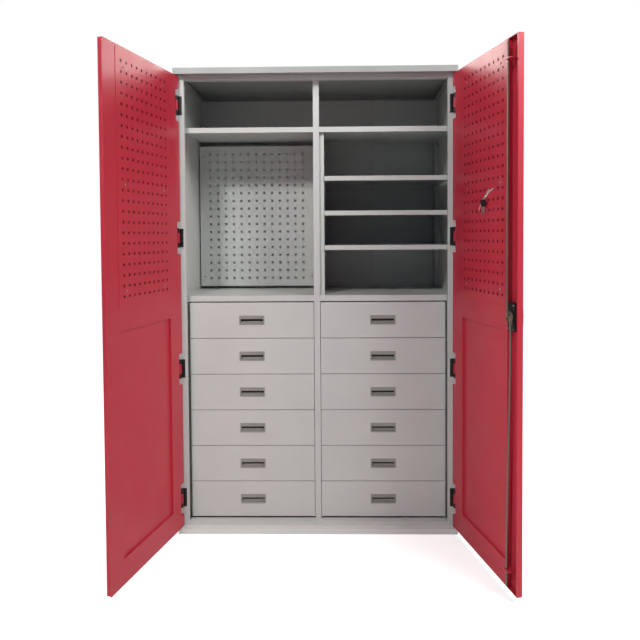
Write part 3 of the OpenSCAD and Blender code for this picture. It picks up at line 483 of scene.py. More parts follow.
class Finish(Graph):
    """Material made of nodes, on the object's coordinates."""

    def __init__(self, name):
        self.material = bpy.data.materials.get(name) or bpy.data.materials.new(name)
        self.material.use_nodes = True
        super().__init__(self.material.node_tree, "ShaderNode")
        self.tree.nodes.clear()
        self.output = self.node("OutputMaterial")
        self.coordinates = self.node("TexCoord").outputs["Object"]

    def noise(self, scale, detail=2.0, stretch=(1, 1, 1), roughness=0.5):
        vector = self.coordinates
        if stretch != (1, 1, 1):
            vector = self.out("Mapping", {"Vector": vector, "Scale": stretch})
        inputs = {"Vector": vector, "Scale": scale, "Detail": detail, "Roughness": roughness}
        return self.out("TexNoise", inputs)

    def ranged(self, value, low, high, start=0.3, end=0.7):
        """A value between start and end turned into one between low and high."""
        inputs = {"Value": value, "From Min": start, "From Max": end, "To Min": low, "To Max": high}
        return self.out("MapRange", inputs)

    def blend(self, factor, first, second):
        mix = self.node("Mix", {0: factor}, data_type="RGBA")
        for index, value in ((6, first), (7, second)):
            if isinstance(value, bpy.types.NodeSocket):
                self.tree.links.new(value, mix.inputs[index])
            else:
                mix.inputs[index].default_value = (*value[:3], 1)
        return mix.outputs[2]

    def bump(self, height, distance, strength=1.0, normal=None):
        inputs = {"Height": height, "Distance": distance, "Strength": strength}
        if normal:
            inputs["Normal"] = normal
        return self.out("Bump", inputs)

    def rounding(self, radius):
        """Normal that is rounded at edges."""
        return self.out("Bevel", {"Radius": radius}, samples=4)

    def edge_wear_and_highlight(self, rounding, most, sharp, scale, low, high):
        """Factor that is highest at edges, broken up by noise: a painted highlight on powder coat, and bare
        steel worn at the edges of black metal.
        """
        true_normal = self.node("NewGeometry").outputs["Normal"]
        vectors = {0: rounding, 1: true_normal}
        facing = self.node("VectorMath", vectors, operation="DOT_PRODUCT").outputs["Value"]
        edge = self.ranged(facing, most, 0.0, 0.8, sharp)
        patches = self.ranged(self.noise(scale, 3), low, high)
        return self.out("Math", {0: edge, 1: patches}, operation="MULTIPLY")

    def surface(self, **inputs):
        named = {key.replace("_", " "): value for key, value in inputs.items()}
        self.tree.links.new(self.out("BsdfPrincipled", named), self.output.inputs["Surface"])
        return self.material


def shade(colour, factor):
    """The colour made lighter or darker, and never above white."""
    return tuple(min(1.0, c * factor) for c in colour)


def powder_coat(name, colour, edge_highlight, painted_recess_shade=False):
    """Sprayed and baked paint: fine waves, slow drifts of tone and gloss, and a painted highlight that
    lightens edges in patches.

    Where another sheet is near, the colour is darkened towards black as painted shade in recesses and holes.
    """
    paint = bpy.context.scene.cabinet_paint
    f = Finish(name)
    rounding = f.rounding(paint.edge)
    edge_wear_and_highlight = f.edge_wear_and_highlight(rounding, 0.75, 0.99, 46, 0.25, 1.0)
    drift = f.ranged(f.noise(2.6, 4, roughness=0.6), 0.0, 1.0)
    tone = f.blend(drift, shade(colour, 0.955), shade(colour, 1.03))
    flecks = f.ranged(f.noise(900, 1), 0.0, 0.05, 0.62, 0.78)
    tone = f.blend(flecks, tone, shade(colour, 0.7))
    # painted highlight: edges turn towards a lighter paint colour in noisy patches
    tone = f.blend(edge_wear_and_highlight, tone, edge_highlight)
    # painted shade: ambient occlusion darkens the paint towards black where other sheets are near
    if painted_recess_shade:
        open_share = f.node("AmbientOcclusion", {"Distance": paint.reach}, samples=4).outputs["AO"]
        tone = f.blend(f.ranged(open_share, 0.0, 1.0, 0.08, 0.42), shade(paint.black, 1.5), tone)
    gloss = f.ranged(f.noise(7, 3), paint.gloss - 0.05, paint.gloss + 0.07)
    waves = f.bump(f.noise(paint.peel_size, 2, roughness=0.45), paint.peel, 0.5, rounding)
    return f.surface(Base_Color=tone, Roughness=gloss, Normal=waves)


def moulded(name, colour, roughness):
    """Moulded plastic with a fine spark-eroded grain and slight flow marks."""
    f = Finish(name)
    flow = f.ranged(f.noise(38, 3, stretch=(1, 1, 2.5)), 0.0, 1.0)
    tone = f.blend(flow, shade(colour, 0.93), shade(colour, 1.05))
    gloss = f.ranged(f.noise(90, 2), roughness - 0.04, roughness + 0.06)
    grain = f.bump(f.noise(1500, 1), 0.00006, 0.6, f.rounding(0.0004))
    return f.surface(Base_Color=tone, Roughness=gloss, Normal=grain)


def black_metal(name, colour):
    """Black painted hinge steel, rubbed to bare metal at its edges."""
    f = Finish(name)
    rounding = f.rounding(0.0008)
    edge_wear_and_highlight = f.edge_wear_and_highlight(rounding, 0.6, 0.97, 210, 0.0, 0.8)
    tone = f.blend(f.ranged(f.noise(60, 3), 0, 1), shade(colour, 0.8), shade(colour, 1.25))
    tone = f.blend(edge_wear_and_highlight, tone, BARE_STEEL)
    gloss = f.ranged(f.noise(120, 2), 0.34, 0.5)
    return f.surface(Base_Color=tone, Roughness=gloss, Normal=f.bump(f.noise(700, 2), 0.00008, 0.5, rounding))


def plated(name, colour, roughness=0.34, streak=(1, 1, 1), tint=(1.0, 0.97, 0.9)):
    """Plated or drawn metal with cloudy passivation and fine scratches along its length."""
    f = Finish(name)
    cloud = f.ranged(f.noise(55, 4, roughness=0.6), 0, 1)
    bright = shade([c * t for c, t in zip(colour, tint)], 1.06)
    tone = f.blend(cloud, shade(colour, 0.86), bright)
    grooves = f.noise(420, 3, stretch=streak)
    gloss = f.ranged(grooves, roughness - 0.07, roughness + 0.12)
    return f.surface(Base_Color=tone, Metallic=0.85, Roughness=gloss, Normal=f.bump(grooves, 0.00004, 0.5))


def nylon(name, colour):
    """White nylon with a little light through it and fine ribs."""
    f = Finish(name)
    tone = f.blend(f.ranged(f.noise(120, 2), 0, 1), shade(colour, 0.94), colour)
    gloss = f.ranged(f.noise(300, 2), 0.34, 0.48)
    return f.surface(Base_Color=tone, Roughness=gloss, Normal=f.bump(f.noise(900, 1), 0.00005, 0.4))


def finish(name):
    """Material that the paint step has made."""
    found = bpy.data.materials.get(name)
    if not found:
        raise RuntimeError("the finish " + name + " isn't made yet")
    return found


# Geometry Nodes


class Recipe(Graph):
    """Geometry Nodes tree with named inputs, run once on a mesh of points or lines."""

    def __init__(self, name, sizes, seeded=False):
        super().__init__(bpy.data.node_groups.new(name, "GeometryNodeTree"))
        sockets = [("Places", "Geometry"), *((label, "Float") for label in sizes)]
        if seeded:
            sockets.append(("Seed", "Int"))
        for label, kind in [*sockets, ("Finish", "Material")]:
            made = self.tree.interface.new_socket(label, in_out="INPUT", socket_type="NodeSocket" + kind)
            if kind == "Float":
                made.subtype = "DISTANCE"
        self.tree.interface.new_socket("Result", in_out="OUTPUT", socket_type="NodeSocketGeometry")
        self.start = self.node("NodeGroupInput")
        self.end = self.node("NodeGroupOutput")

    def size(self, label):
        return self.start.outputs[label]

    def times(self, first, second):
        return self.out("ShaderNodeMath", {0: first, 1: second}, operation="MULTIPLY")

    def vector(self, x=0.0, y=0.0, z=0.0):
        return self.out("ShaderNodeCombineXYZ", {0: x, 1: y, 2: z})

    def raised(self, form, height):
        return self.out("GeometryNodeTransform", {"Geometry": form, "Translation": self.vector(z=height)})

    def finish(self, points, form, spin=True):
        """Puts the form on each point, turned to the point's facing, and closes the tree."""
        facing = self.out("GeometryNodeInputNamedAttribute", {"Name": "facing"}, data_type="FLOAT_VECTOR")
        turn = self.out("FunctionNodeAlignRotationToVector", {"Vector": facing}, axis="Z")
        if spin:
            angle = self.node("FunctionNodeRandomValue", {"Seed": self.size("Seed")}, data_type="FLOAT")
            angle.inputs[2].default_value = 0.0
            angle.inputs[3].default_value = math.pi / 2
            inputs = {"Axis": (0, 0, 1), "Angle": angle.outputs[1]}
            about = self.out("FunctionNodeAxisAngleToRotation", inputs)
            turn = self.out("FunctionNodeRotateRotation", {0: turn, 1: about}, rotation_space="LOCAL")
        inputs = {"Points": points, "Instance": form, "Rotation": turn}
        real = self.out("GeometryNodeRealizeInstances", {0: self.out("GeometryNodeInstanceOnPoints", inputs)})
        done = self.out("GeometryNodeSetMaterial", {"Geometry": real, "Material": self.size("Finish")})
        self.tree.links.new(done, self.end.inputs[0])
        return self

    def run(self, places, lines, values):
        """Plain mesh of the tree's result on places, which are pairs of point and facing."""
        mesh = bpy.data.meshes.new("places")
        mesh.from_pydata([p for p, _ in places], lines, [])
        facings = mesh.attributes.new("facing", "FLOAT_VECTOR", "POINT")
        facings.data.foreach_set("vector", [c for _, facing in places for c in facing])
        holder = linked("places", mesh)
        step = holder.modifiers.new("recipe", "NODES")
        step.node_group = self.tree
        for socket in self.tree.interface.items_tree:
            if socket.item_type == "SOCKET" and socket.in_out == "INPUT" and socket.name in values:
                step[socket.identifier] = values[socket.name]
        made = evaluated(holder)
        holder.modifiers.clear()
        bpy.data.objects.remove(holder)
        return made


def screw_recipe():
    """Low domed heads with a cross recess."""
    r = Recipe("Cross Recess Screws", ("Head Diameter", "Head Height", "Recess Width"), seeded=True)
    radius = r.times(r.size("Head Diameter"), 0.5)
    height = r.size("Head Height")
    skirt = {"Vertices": 16, "Radius": radius, "Depth": r.times(height, 0.4)}
    skirt = r.raised(r.out("GeometryNodeMeshCylinder", skirt), r.times(height, 0.2))
    dome = {
        "Vertices": 16, "Radius Bottom": r.times(radius, 0.985),
        "Radius Top": r.times(radius, 0.6), "Depth": r.times(height, 0.65),
    }
    dome = r.raised(r.out("GeometryNodeMeshCone", dome), r.times(height, 0.35))
    head = r.out("GeometryNodeMeshBoolean", {"Mesh 2": [skirt, dome]}, operation="UNION")
    long, wide = r.times(r.size("Head Diameter"), 0.52), r.size("Recess Width")
    arms = []
    for size in (r.vector(long, wide, height), r.vector(wide, long, height)):
        arms.append(r.raised(r.out("GeometryNodeMeshCube", {"Size": size}), height))
    cut = r.out("GeometryNodeMeshBoolean", {"Mesh 1": head, "Mesh 2": arms}, operation="DIFFERENCE")
    return r.finish(r.size("Places"), cut)


def weld_recipe():
    """Shallow round marks at a pitch along lines."""
    r = Recipe("Spot Welds", ("Spot Diameter", "Spot Height", "Pitch"))
    curve = r.out("GeometryNodeMeshToCurve", {0: r.size("Places")})
    along = r.out("GeometryNodeResampleCurve", {"Curve": curve, "Length": r.size("Pitch")}, mode="LENGTH")
    radius = r.times(r.size("Spot Diameter"), 0.5)
    spot = {
        "Vertices": 12, "Radius Bottom": radius,
        "Radius Top": r.times(radius, 0.55), "Depth": r.size("Spot Height"),
    }
    return r.finish(along, r.out("GeometryNodeMeshCone", spot), spin=False)


def screws_at(places, head, material, recipe):
    """Mesh of screws with heads of one diameter."""
    sizes = bpy.context.scene.cabinet_screws
    values = {
        "Head Diameter": head, "Head Height": sizes.height, "Recess Width": sizes.recess,
        "Seed": sizes.seed, "Finish": finish(material),
    }
    return recipe.run(places, [], values)


def placed(matrix, point, facing):
    """A screw's point and facing, in the frame's metres."""
    return matrix @ Vector(point), (matrix.to_3x3() @ Vector(facing)).normalized()


# Operators


class CABINET_OT_camera(bpy.types.Operator):
    """Sets up the camera at the viewing angle of the photograph"""

    bl_idname = "cabinet.camera"
    bl_label = "Camera"

    def execute(self, context):
        yaw, pitch, roll = (math.radians(a) for a in VIEW)
        ahead = Vector((math.sin(yaw) * math.cos(pitch), math.cos(yaw) * math.cos(pitch), math.sin(pitch)))
        level = Vector((math.cos(yaw), -math.sin(yaw), 0))
        upward = level.cross(ahead)
        right = level * math.cos(roll) + upward * math.sin(roll)
        up = upward * math.cos(roll) - level * math.sin(roll)
        data = bpy.data.cameras.new("Camera")
        data.lens = context.scene.cabinet_stage.focal
        data.sensor_width = SENSOR
        data.sensor_fit = "HORIZONTAL"
        data.shift_x, data.shift_y = SHIFT
        camera = linked("Camera", data)
        facing = Matrix((right, up, -ahead)).transposed().to_4x4()
        camera.matrix_world = Matrix.Translation(EYE) @ facing
        context.scene.camera = camera
        return {"FINISHED"}


def lamp(name, place, aim, size, power, colour):
    data = bpy.data.lights.new(name, "AREA")
    data.shape = "RECTANGLE"
    data.size, data.size_y = size
    data.energy = power
    data.color = colour
    obj = linked(name, data)
    obj.location = place
    obj.rotation_euler = (Vector(aim) - Vector(place)).to_track_quat("-Z", "Y").to_euler()
    obj.visible_camera = False


class CABINET_OT_stage(bpy.types.Operator):
    """Sets up the floor, the room's light and the lamps"""

    bl_idname = "cabinet.stage"
    bl_label = "Stage"

    def execute(self, context):
        stage = context.scene.cabinet_stage
        context.scene.view_settings.view_transform = "Standard"
        self.make_floor(stage)
        self.make_world(stage)
        for name, (setting, place, aim, size, colour) in LAMPS.items():
            lamp(name, place, aim, size, getattr(stage, setting), colour)
        return {"FINISHED"}

    def make_floor(self, stage):
        """Pale floor that keeps the shadow near the cabinet and turns white further out."""
        half, drop = 9, 0.0004
        near, far = 2.2, 5.0
        bm = bmesh.new()
        bmesh.ops.create_grid(bm, x_segments=8, y_segments=8, size=half)
        bmesh.ops.translate(bm, verts=bm.verts, vec=(0, 0, -drop))
        mesh = finished(bm)
        if mesh.polygons[0].normal.z < 0:
            mesh.flip_normals()
        f = Finish("Floor")
        tone = f.blend(f.ranged(f.noise(1.3, 3), 0, 1), shade(stage.floor, 0.985), stage.floor)
        matt = f.out("BsdfDiffuse", {"Color": tone})
        distance = f.node("VectorMath", {0: f.coordinates}, operation="LENGTH").outputs["Value"]
        strength = f.ranged(distance, stage.glow, 1.0, near, far)
        glow = f.out("Emission", {"Color": (1, 1, 1, 1), "Strength": strength})
        bright = f.out("AddShader", {0: matt, 1: glow})
        seen = f.node("LightPath").outputs["Is Camera Ray"]
        f.tree.links.new(f.out("MixShader", {0: seen, 1: matt, 2: bright}), f.output.inputs["Surface"])
        mesh.materials.append(f.material)
        linked("Floor", mesh)

    def make_world(self, stage):
        """White to the camera, and dim bluish light from all round for everything else."""
        world = bpy.data.worlds.new("Room")
        bpy.context.scene.world = world
        world.use_nodes = True
        world.node_tree.nodes.clear()
        g = Graph(world.node_tree, "ShaderNode")
        room = g.out("Background", {0: (*stage.room, 1), 1: stage.ambient})
        white = g.out("Background", {0: (1, 1, 1, 1), 1: 1.0})
        seen = g.node("LightPath").outputs["Is Camera Ray"]
        mixed = g.out("MixShader", {0: seen, 1: room, 2: white})
        g.tree.links.new(mixed, g.node("OutputWorld").inputs[0])


class CABINET_OT_paint(bpy.types.Operator):
    """Makes the finishes and puts them on the sheets and fittings of the frame"""

    bl_idname = "cabinet.paint"
    bl_label = "Paint"

    def execute(self, context):
        paint = context.scene.cabinet_paint
        grey = powder_coat("Grey Paint", paint.grey, GREY_EDGE_HIGHLIGHT)
        # painted shade: darker grey on the cap
        cap = powder_coat("Cap Paint", shade(paint.grey, paint.cap_shade), SHADED_CAP_EDGE_HIGHLIGHT)
        # painted light: lighter grey on the base tray
        base = powder_coat("Base Paint", shade(paint.grey, paint.base_light), GREY_EDGE_HIGHLIGHT)
        # the back panel and the door skins get painted shade where other sheets are near
        rear = powder_coat("Back Panel Paint", paint.grey, GREY_EDGE_HIGHLIGHT, painted_recess_shade=True)
        red = powder_coat("Red Paint", paint.red, RED_EDGE_HIGHLIGHT)
        skin = powder_coat("Door Skin Paint", paint.red, RED_EDGE_HIGHLIGHT, painted_recess_shade=True)
        black = black_metal("Black Steel", paint.black)
        plastic = moulded("Black Plastic", paint.black, 0.42)
        pull = moulded("Pull Plastic", paint.pull, 0.4)
        zinc = plated("Zinc", paint.zinc)
        rod = plated("Rod Steel", paint.steel, 0.42, streak=(1, 1, 0.03), tint=(1.0, 0.93, 0.86))
        cam = plated("Cam Plating", paint.brass, 0.3, tint=(0.95, 1.0, 0.8))
        tie = nylon("Tie Nylon", paint.nylon)
        named = {
            "top_cap": cap, "base_tray": base, "back_panel": rear, "left_door_skin": skin,
            "right_door_skin": skin, "left_door_screws": zinc, "right_door_screws": zinc,
            "hinge_brackets": black, "hinge_pins": black, "shelf_clips": zinc, "back_panel_fixings": zinc,
            "drawer_rails": zinc, "lock_housing": plastic, "lock_handle": plastic, "lock_cam": cam,
            "rod_guides": red, "upper_rod": rod, "lower_rod": rod, "keys": plastic, "key_tie": tie,
        }
        for name, obj in frame["nodes"].items():
            chosen = named.get(name)
            if not chosen:
                chosen = pull if name.endswith("_pull") else red if "_door_" in name else grey
            obj.data.materials.clear()
            obj.data.materials.append(chosen)
        return {"FINISHED"}


class CABINET_OT_pulls(bpy.types.Operator):
    """Moulds the twelve drawer pulls"""

    bl_idname = "cabinet.pulls"
    bl_label = "Drawer Pulls"

    def execute(self, context):
        pulls = context.scene.cabinet_pulls
        form = painted_shade_sheet = None
        for drawer in DRAWERS:
            low, high = (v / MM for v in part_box(drawer + "_pull"))
            if form is None:
                form, painted_shade_sheet = self.mould(pulls, high - low)
            middle = (low + high) / 2
            place = cabinet_matrix() @ Matrix.Translation((middle.x, low.y + in_mm(pulls, "rim"), middle.z))
            body = drawer + "_body"
            shown = moved(form, place)
            piece(drawer + "_moulded_pull", shown, "Pull Plastic", body, [drawer + "_pull"])
            # painted shade: black sheet inside the pull's pocket
            shown = moved(painted_shade_sheet, place)
            piece(drawer + "_pull_lining", shown, "Black Plastic", body)
        return {"FINISHED"}

    def mould(self, pulls, size):
        """Pull with its flange, pocket, ramp and hood, and a black sheet behind the hood as painted shade in
        the pocket.
        """
        flange, rim, wall, climb = (in_mm(pulls, n) for n in ("flange", "rim", "wall", "ramp"))
        gap, past, steps = 0.1, 2, 8
        half_w, half_h = size.x / 2 - flange - gap, size.z / 2 - flange - gap
        back = size.y - rim
        hood = half_h - in_mm(pulls, "hood")
        foot = -half_h + wall
        plate = prism(rounded(size.x, size.z, in_mm(pulls, "corner"), 5), -rim, 0)
        pocket = blocks(((-half_w, -rim / 2, -half_h), (half_w, back, half_h)))
        angles = (math.pi / 2 * i / steps for i in range(steps + 1))
        ramp = [(wall * 0.2 + (back - wall) * math.sin(a), foot + climb * (1 - math.cos(a))) for a in angles]
        front, rear, ceiling = -rim - past, back - wall, half_h - wall
        section = [(front, foot), *ramp, (rear, ceiling), (gap, ceiling), (gap, hood), (front, hood)]
        inner = half_w - wall
        cavity = prism(section, -inner, inner, "X")
        step = in_mm(pulls, "hood_step") - rim
        shelf = blocks(((-inner, front, hood - 1), (inner, step, half_h - 0.6)))
        body = combined(combined(plate, "UNION", pocket), "DIFFERENCE", cavity, shelf)
        # painted shade: thin black angle inside the pocket, behind the hood
        thick, air = in_mm(pulls, "painted_shade_sheet"), 0.06
        rear, top, low = rear - air, ceiling - air, foot + climb
        near, under = rear - thick, top - thick
        angle = [(rear, low), (rear, top), (1, top), (1, under), (near, under), (near, low)]
        return edged(body, in_mm(pulls, "edge")), prism(angle, air - inner, inner - air, "X")


class CABINET_OT_panel_screws(bpy.types.Operator):
    """Puts cross-recess screws on the tool panels, with spacers behind the rear one"""

    bl_idname = "cabinet.panel_screws"
    bl_label = "Tool Panel Screws"

    def execute(self, context):
        recipe = screw_recipe()
        head = context.scene.cabinet_screws.panel_head
        for side in SIDES:
            matrix = door_matrix(side)
            node = side + "_door_screws"
            middles = [((a.x + b.x) / 2, a.y, (a.z + b.z) / 2) for a, b in solids(node, matrix)]
            places = [placed(matrix, middle, (0, 1, 0)) for middle in middles]
            mesh = screws_at(places, head, "Zinc", recipe)
            piece(side + "_door_panel_screws", mesh, "Zinc", side + "_door", [node])
        self.rear_fixings(recipe, head)
        return {"FINISHED"}

    def rear_fixings(self, recipe, head):
        """Screws on the panel at the back, and grooved spacers behind it."""
        matrix = cabinet_matrix()
        thickest_head = 5
        places, spacers = [], []
        for low, high in solids("back_panel_fixings", matrix):
            middle = (low + high) / 2
            if high.y - low.y < thickest_head:
                places.append(placed(matrix, (middle.x, high.y, middle.z), (0, -1, 0)))
            else:
                spacers.append((middle, low, high))

        def draw(bm):
            for middle, low, high in spacers:
                wide, end = (high.x - low.x) / 2, high.y - low.y
                neck, rim, mid = wide * 0.82, wide * 0.9, end / 2
                profile = [(rim, 0), (wide, 0.8), (wide, mid - 2), (neck, mid - 1)]
                profile += [(neck, mid + 1), (wide, mid + 2), (wide, end - 0.8), (rim, end)]
                before = set(bm.verts)
                lathe(bm, profile, 20)
                new = [v for v in bm.verts if v not in before]
                turn = Matrix.Translation((middle.x, low.y, middle.z)) @ Matrix.Rotation(-math.pi / 2, 4, "X")
                bmesh.ops.transform(bm, matrix=turn, verts=new)

        parts = [screws_at(places, head, "Zinc", recipe), moved(shape(draw), matrix)]
        piece("rear_panel_screws", joined(parts), "Zinc", "cabinet", ["back_panel_fixings"])


class CABINET_OT_hinge_screws(bpy.types.Operator):
    """Puts the screws on the hinge leaves and brackets, and the pads behind the leaves"""

    bl_idname = "cabinet.hinge_screws"
    bl_label = "Hinge Screws"

    leaf = -6.4
    leaf_screws = (-47, 0, 47)
    bracket_screws = (-33, -11, 11, 33)

    def execute(self, context):
        recipe = screw_recipe()
        sizes = context.scene.cabinet_screws
        brackets = solids("hinge_brackets", cabinet_matrix())
        for side in SIDES:
            matrix = door_matrix(side)
            flip = -1 if side == "left" else 1
            mine = [(a, b) for a, b in brackets if (a.x + b.x) * flip > 0]
            levels = sorted((a.z + b.z) / 2 for a, b in mine)
            spots = [(17, self.leaf, level + z) for level in levels for z in self.leaf_screws]
            places = [placed(matrix, spot, (0, 1, 0)) for spot in spots]
            mesh = screws_at(places, sizes.hinge_head, "Zinc", recipe)
            piece(side + "_hinge_leaf_screws", mesh, "Zinc", side + "_door")
            middles = [level + s * 31 for level in levels for s in (-1, 1)]
            pads = blocks(*(((10.6, self.leaf, z - 9), (22.4, 1.5, z + 9)) for z in middles))
            pads = moved(edged(pads, 1.2), matrix)
            piece(side + "_hinge_pads", pads, "Black Steel", side + "_door")
        places = []
        inset, plate = 6, 3
        for low, high in brackets:
            x = low.x + inset if low.x > 0 else high.x - inset
            level = (low.z + high.z) / 2
            spots = [(x, high.y - plate, level + z) for z in self.bracket_screws]
            places += [placed(cabinet_matrix(), spot, (0, -1, 0)) for spot in spots]
        mesh = screws_at(places, sizes.small_head, "Black Steel", recipe)
        piece("hinge_bracket_screws", mesh, "Black Steel", "cabinet")
        return {"FINISHED"}


class CABINET_OT_welds(bpy.types.Operator):
    """Marks the rows of spot welds on the back and beside the shelves"""

    bl_idname = "cabinet.welds"
    bl_label = "Spot Welds"

    def execute(self, context):
        sizes = context.scene.cabinet_screws
        low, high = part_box("back_panel")
        from_side, from_end, above_lip, thick = 0.012, 0.06, 0.009, 0.0004
        rows = []
        for x in (low.x + from_side, -from_side, from_side, high.x - from_side):
            rows.append(((x, high.y, low.z + from_end), (x, high.y, high.z - from_end), (0, 1, 0)))
        levels = [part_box(shelf)[0].z + above_lip for shelf in ("top_shelf", "middle_shelf")]
        for level in levels:
            rows.append(((low.x + from_end, high.y, level), (high.x - from_end, high.y, level), (0, 1, 0)))
        for side, face in ((-1, low.x), (1, high.x)):
            for level in levels:
                rows.append(((face, -0.2, level), (face, 0.27, level), (side, 0, 0)))
        places, lines = [], []
        for start, end, facing in rows:
            lines.append((len(places), len(places) + 1))
            places += [(start, facing), (end, facing)]
        values = {
            "Spot Diameter": sizes.weld, "Spot Height": thick,
            "Pitch": sizes.weld_pitch, "Finish": finish("Grey Paint"),
        }
        mesh = weld_recipe().run(places, lines, values)
        piece("spot_welds", mesh, "Grey Paint", "cabinet")
        return {"FINISHED"}


class CABINET_OT_lock(bpy.types.Operator):
    """Makes the wing handle, the key cylinder, the cam and the lock's screws"""

    bl_idname = "cabinet.lock"
    bl_label = "Lock"

    def execute(self, context):
        lock = context.scene.cabinet_lock
        door = door_matrix("right")
        low, high = local_box("lock_housing", door)
        centre = ((low.x + high.x) / 2, (low.z + high.z) / 2)
        outward = Matrix(((1, 0, 0, centre[0]), (0, 0, -1, 0), (0, 1, 0, centre[1]), (0, 0, 0, 1)))
        self.handle(lock, door, outward)
        self.cam(lock, door, centre)
        self.trim(context, door, low, high)
        return {"FINISHED"}

    def handle(self, lock, door, outward):
        """Upright wing on a round hub, with grip grooves and the key cylinder in the middle."""
        near, far = local_box("lock_handle", door)
        face, inside = -near.y, -far.y
        plate = -local_box("lock_housing", door)[0].y + 0.3
        half, hub, width = (far.z - near.z) / 2, (far.x - near.x) / 2, 10
        low, top = plate + in_mm(lock, "hub"), face - in_mm(lock, "rise")
        sides, spindle_r, waist = 40, 6, 0.14
        bowed = []
        for i in range(sides):
            cos, sin = math.cos(TURN * i / sides), math.sin(TURN * i / sides)
            across = math.copysign(abs(cos) ** 0.5, cos) * (1 - waist * abs(sin))
            bowed.append((width * across, half * math.copysign(abs(sin) ** 0.55, sin)))
        wing = edged(prism(bowed, low - 0.5, top, "Z"), in_mm(lock, "wing_edge"), 4)
        profile = [(hub - 1, plate), (hub, plate + 0.8), (hub, low - 0.8), (hub - 1, low)]
        profile += [(hub - 4, low + 1), (hub - 6, low + 3)]
        spindle = turned([(spindle_r - 0.6, inside), (spindle_r, inside + 0.6), (spindle_r, plate + 2)], 32)
        body = combined(turned(profile, 48), "UNION", wing, spindle)
        radius = in_mm(lock, "cylinder") / 2
        seat = turned([(radius + 0.35, top - 5), (radius + 0.35, top + 4)], sides)
        grooves = [s * z for s in (-1, 1) for z in (20, 26, 32)]
        grip = blocks(*(((-2 * width, z - 1.2, top - 0.7), (2 * width, z + 1.2, top + 1)) for z in grooves))
        body = moved(combined(body, "DIFFERENCE", seat, grip), door @ outward)
        piece("wing_handle", body, "Black Plastic", "lock", ["lock_handle"])
        profile = [(radius, top - 4.8), (radius, face - 0.9), (radius - 0.9, face), (radius - 2.1, face)]
        profile += [(radius - 2.5, face - 0.5), (0.8, face - 0.5)]
        keyway = in_mm(lock, "keyway") / 2
        slot = blocks(((-keyway, -4.4, face - 5), (keyway, 4.4, face + 2)))
        plug = combined(turned(profile, sides), "DIFFERENCE", slot)
        piece("key_cylinder", moved(plug, door @ outward), "Zinc", "lock")

    def cam(self, lock, door, centre):
        """Plated disc with a waved rim, a centre screw and a clipped pin for each rod."""
        near, far = local_box("lock_cam", door)
        inward = Matrix(((1, 0, 0, centre[0]), (0, 0, 1, 0), (0, -1, 0, centre[1]), (0, 0, 0, 1)))
        radius = (far.x - near.x) / 2
        low, high = near.y, far.y
        top = low + in_mm(lock, "disc")
        sides, waves, wave, throw, pin = 120, 10, 0.56, 10, 2.5
        angles = [TURN * i / sides for i in range(sides)]
        reach = [radius - wave * (1 + math.cos(waves * a)) for a in angles]
        rim = [(r * math.cos(a), r * math.sin(a)) for r, a in zip(reach, angles)]
        stub, clip = in_mm(lock, "stub") / 2, in_mm(lock, "clip") / 2
        tip = [(stub * 0.62, top + 3.2), (stub * 0.62, top + 4.6), (stub * 0.45, top + 5)]
        profile = [(pin, top - 0.5), (pin, high - 0.9), (pin, high - 0.85), (clip, high - 0.85)]
        profile += [(clip, high - 0.1), (pin - 0.2, high), (pin - 0.6, high + 0.7)]
        clipped = turned(profile, 24)
        pins = [moved(clipped, Matrix.Translation((s * throw, s * throw, 0))) for s in (-1, 1)]
        disc = edged(prism(rim, low, top, "Z"), 0.4, 2, 50)
        screw = [prism(circle(stub, 6), top, top + 3.4, "Z"), turned(tip, 20)]
        mesh = moved(joined([disc, *screw, *pins]), door @ inward)
        piece("lock_cam_plate", mesh, "Cam Plating", "lock", ["lock_cam"])

    def trim(self, context, door, low, high):
        """Screws in the corners of the lock's housing."""
        recipe = screw_recipe()
        head = context.scene.cabinet_screws.small_head
        inset = 12
        levels = (low.z + inset, high.z - inset)
        spots = [(x, high.y, z) for x in (low.x + inset, high.x - inset) for z in levels]
        places = [placed(door, spot, (0, 1, 0)) for spot in spots]
        mesh = screws_at(places, head * 0.8, "Zinc", recipe)
        piece("lock_screws", mesh, "Zinc", "right_door")


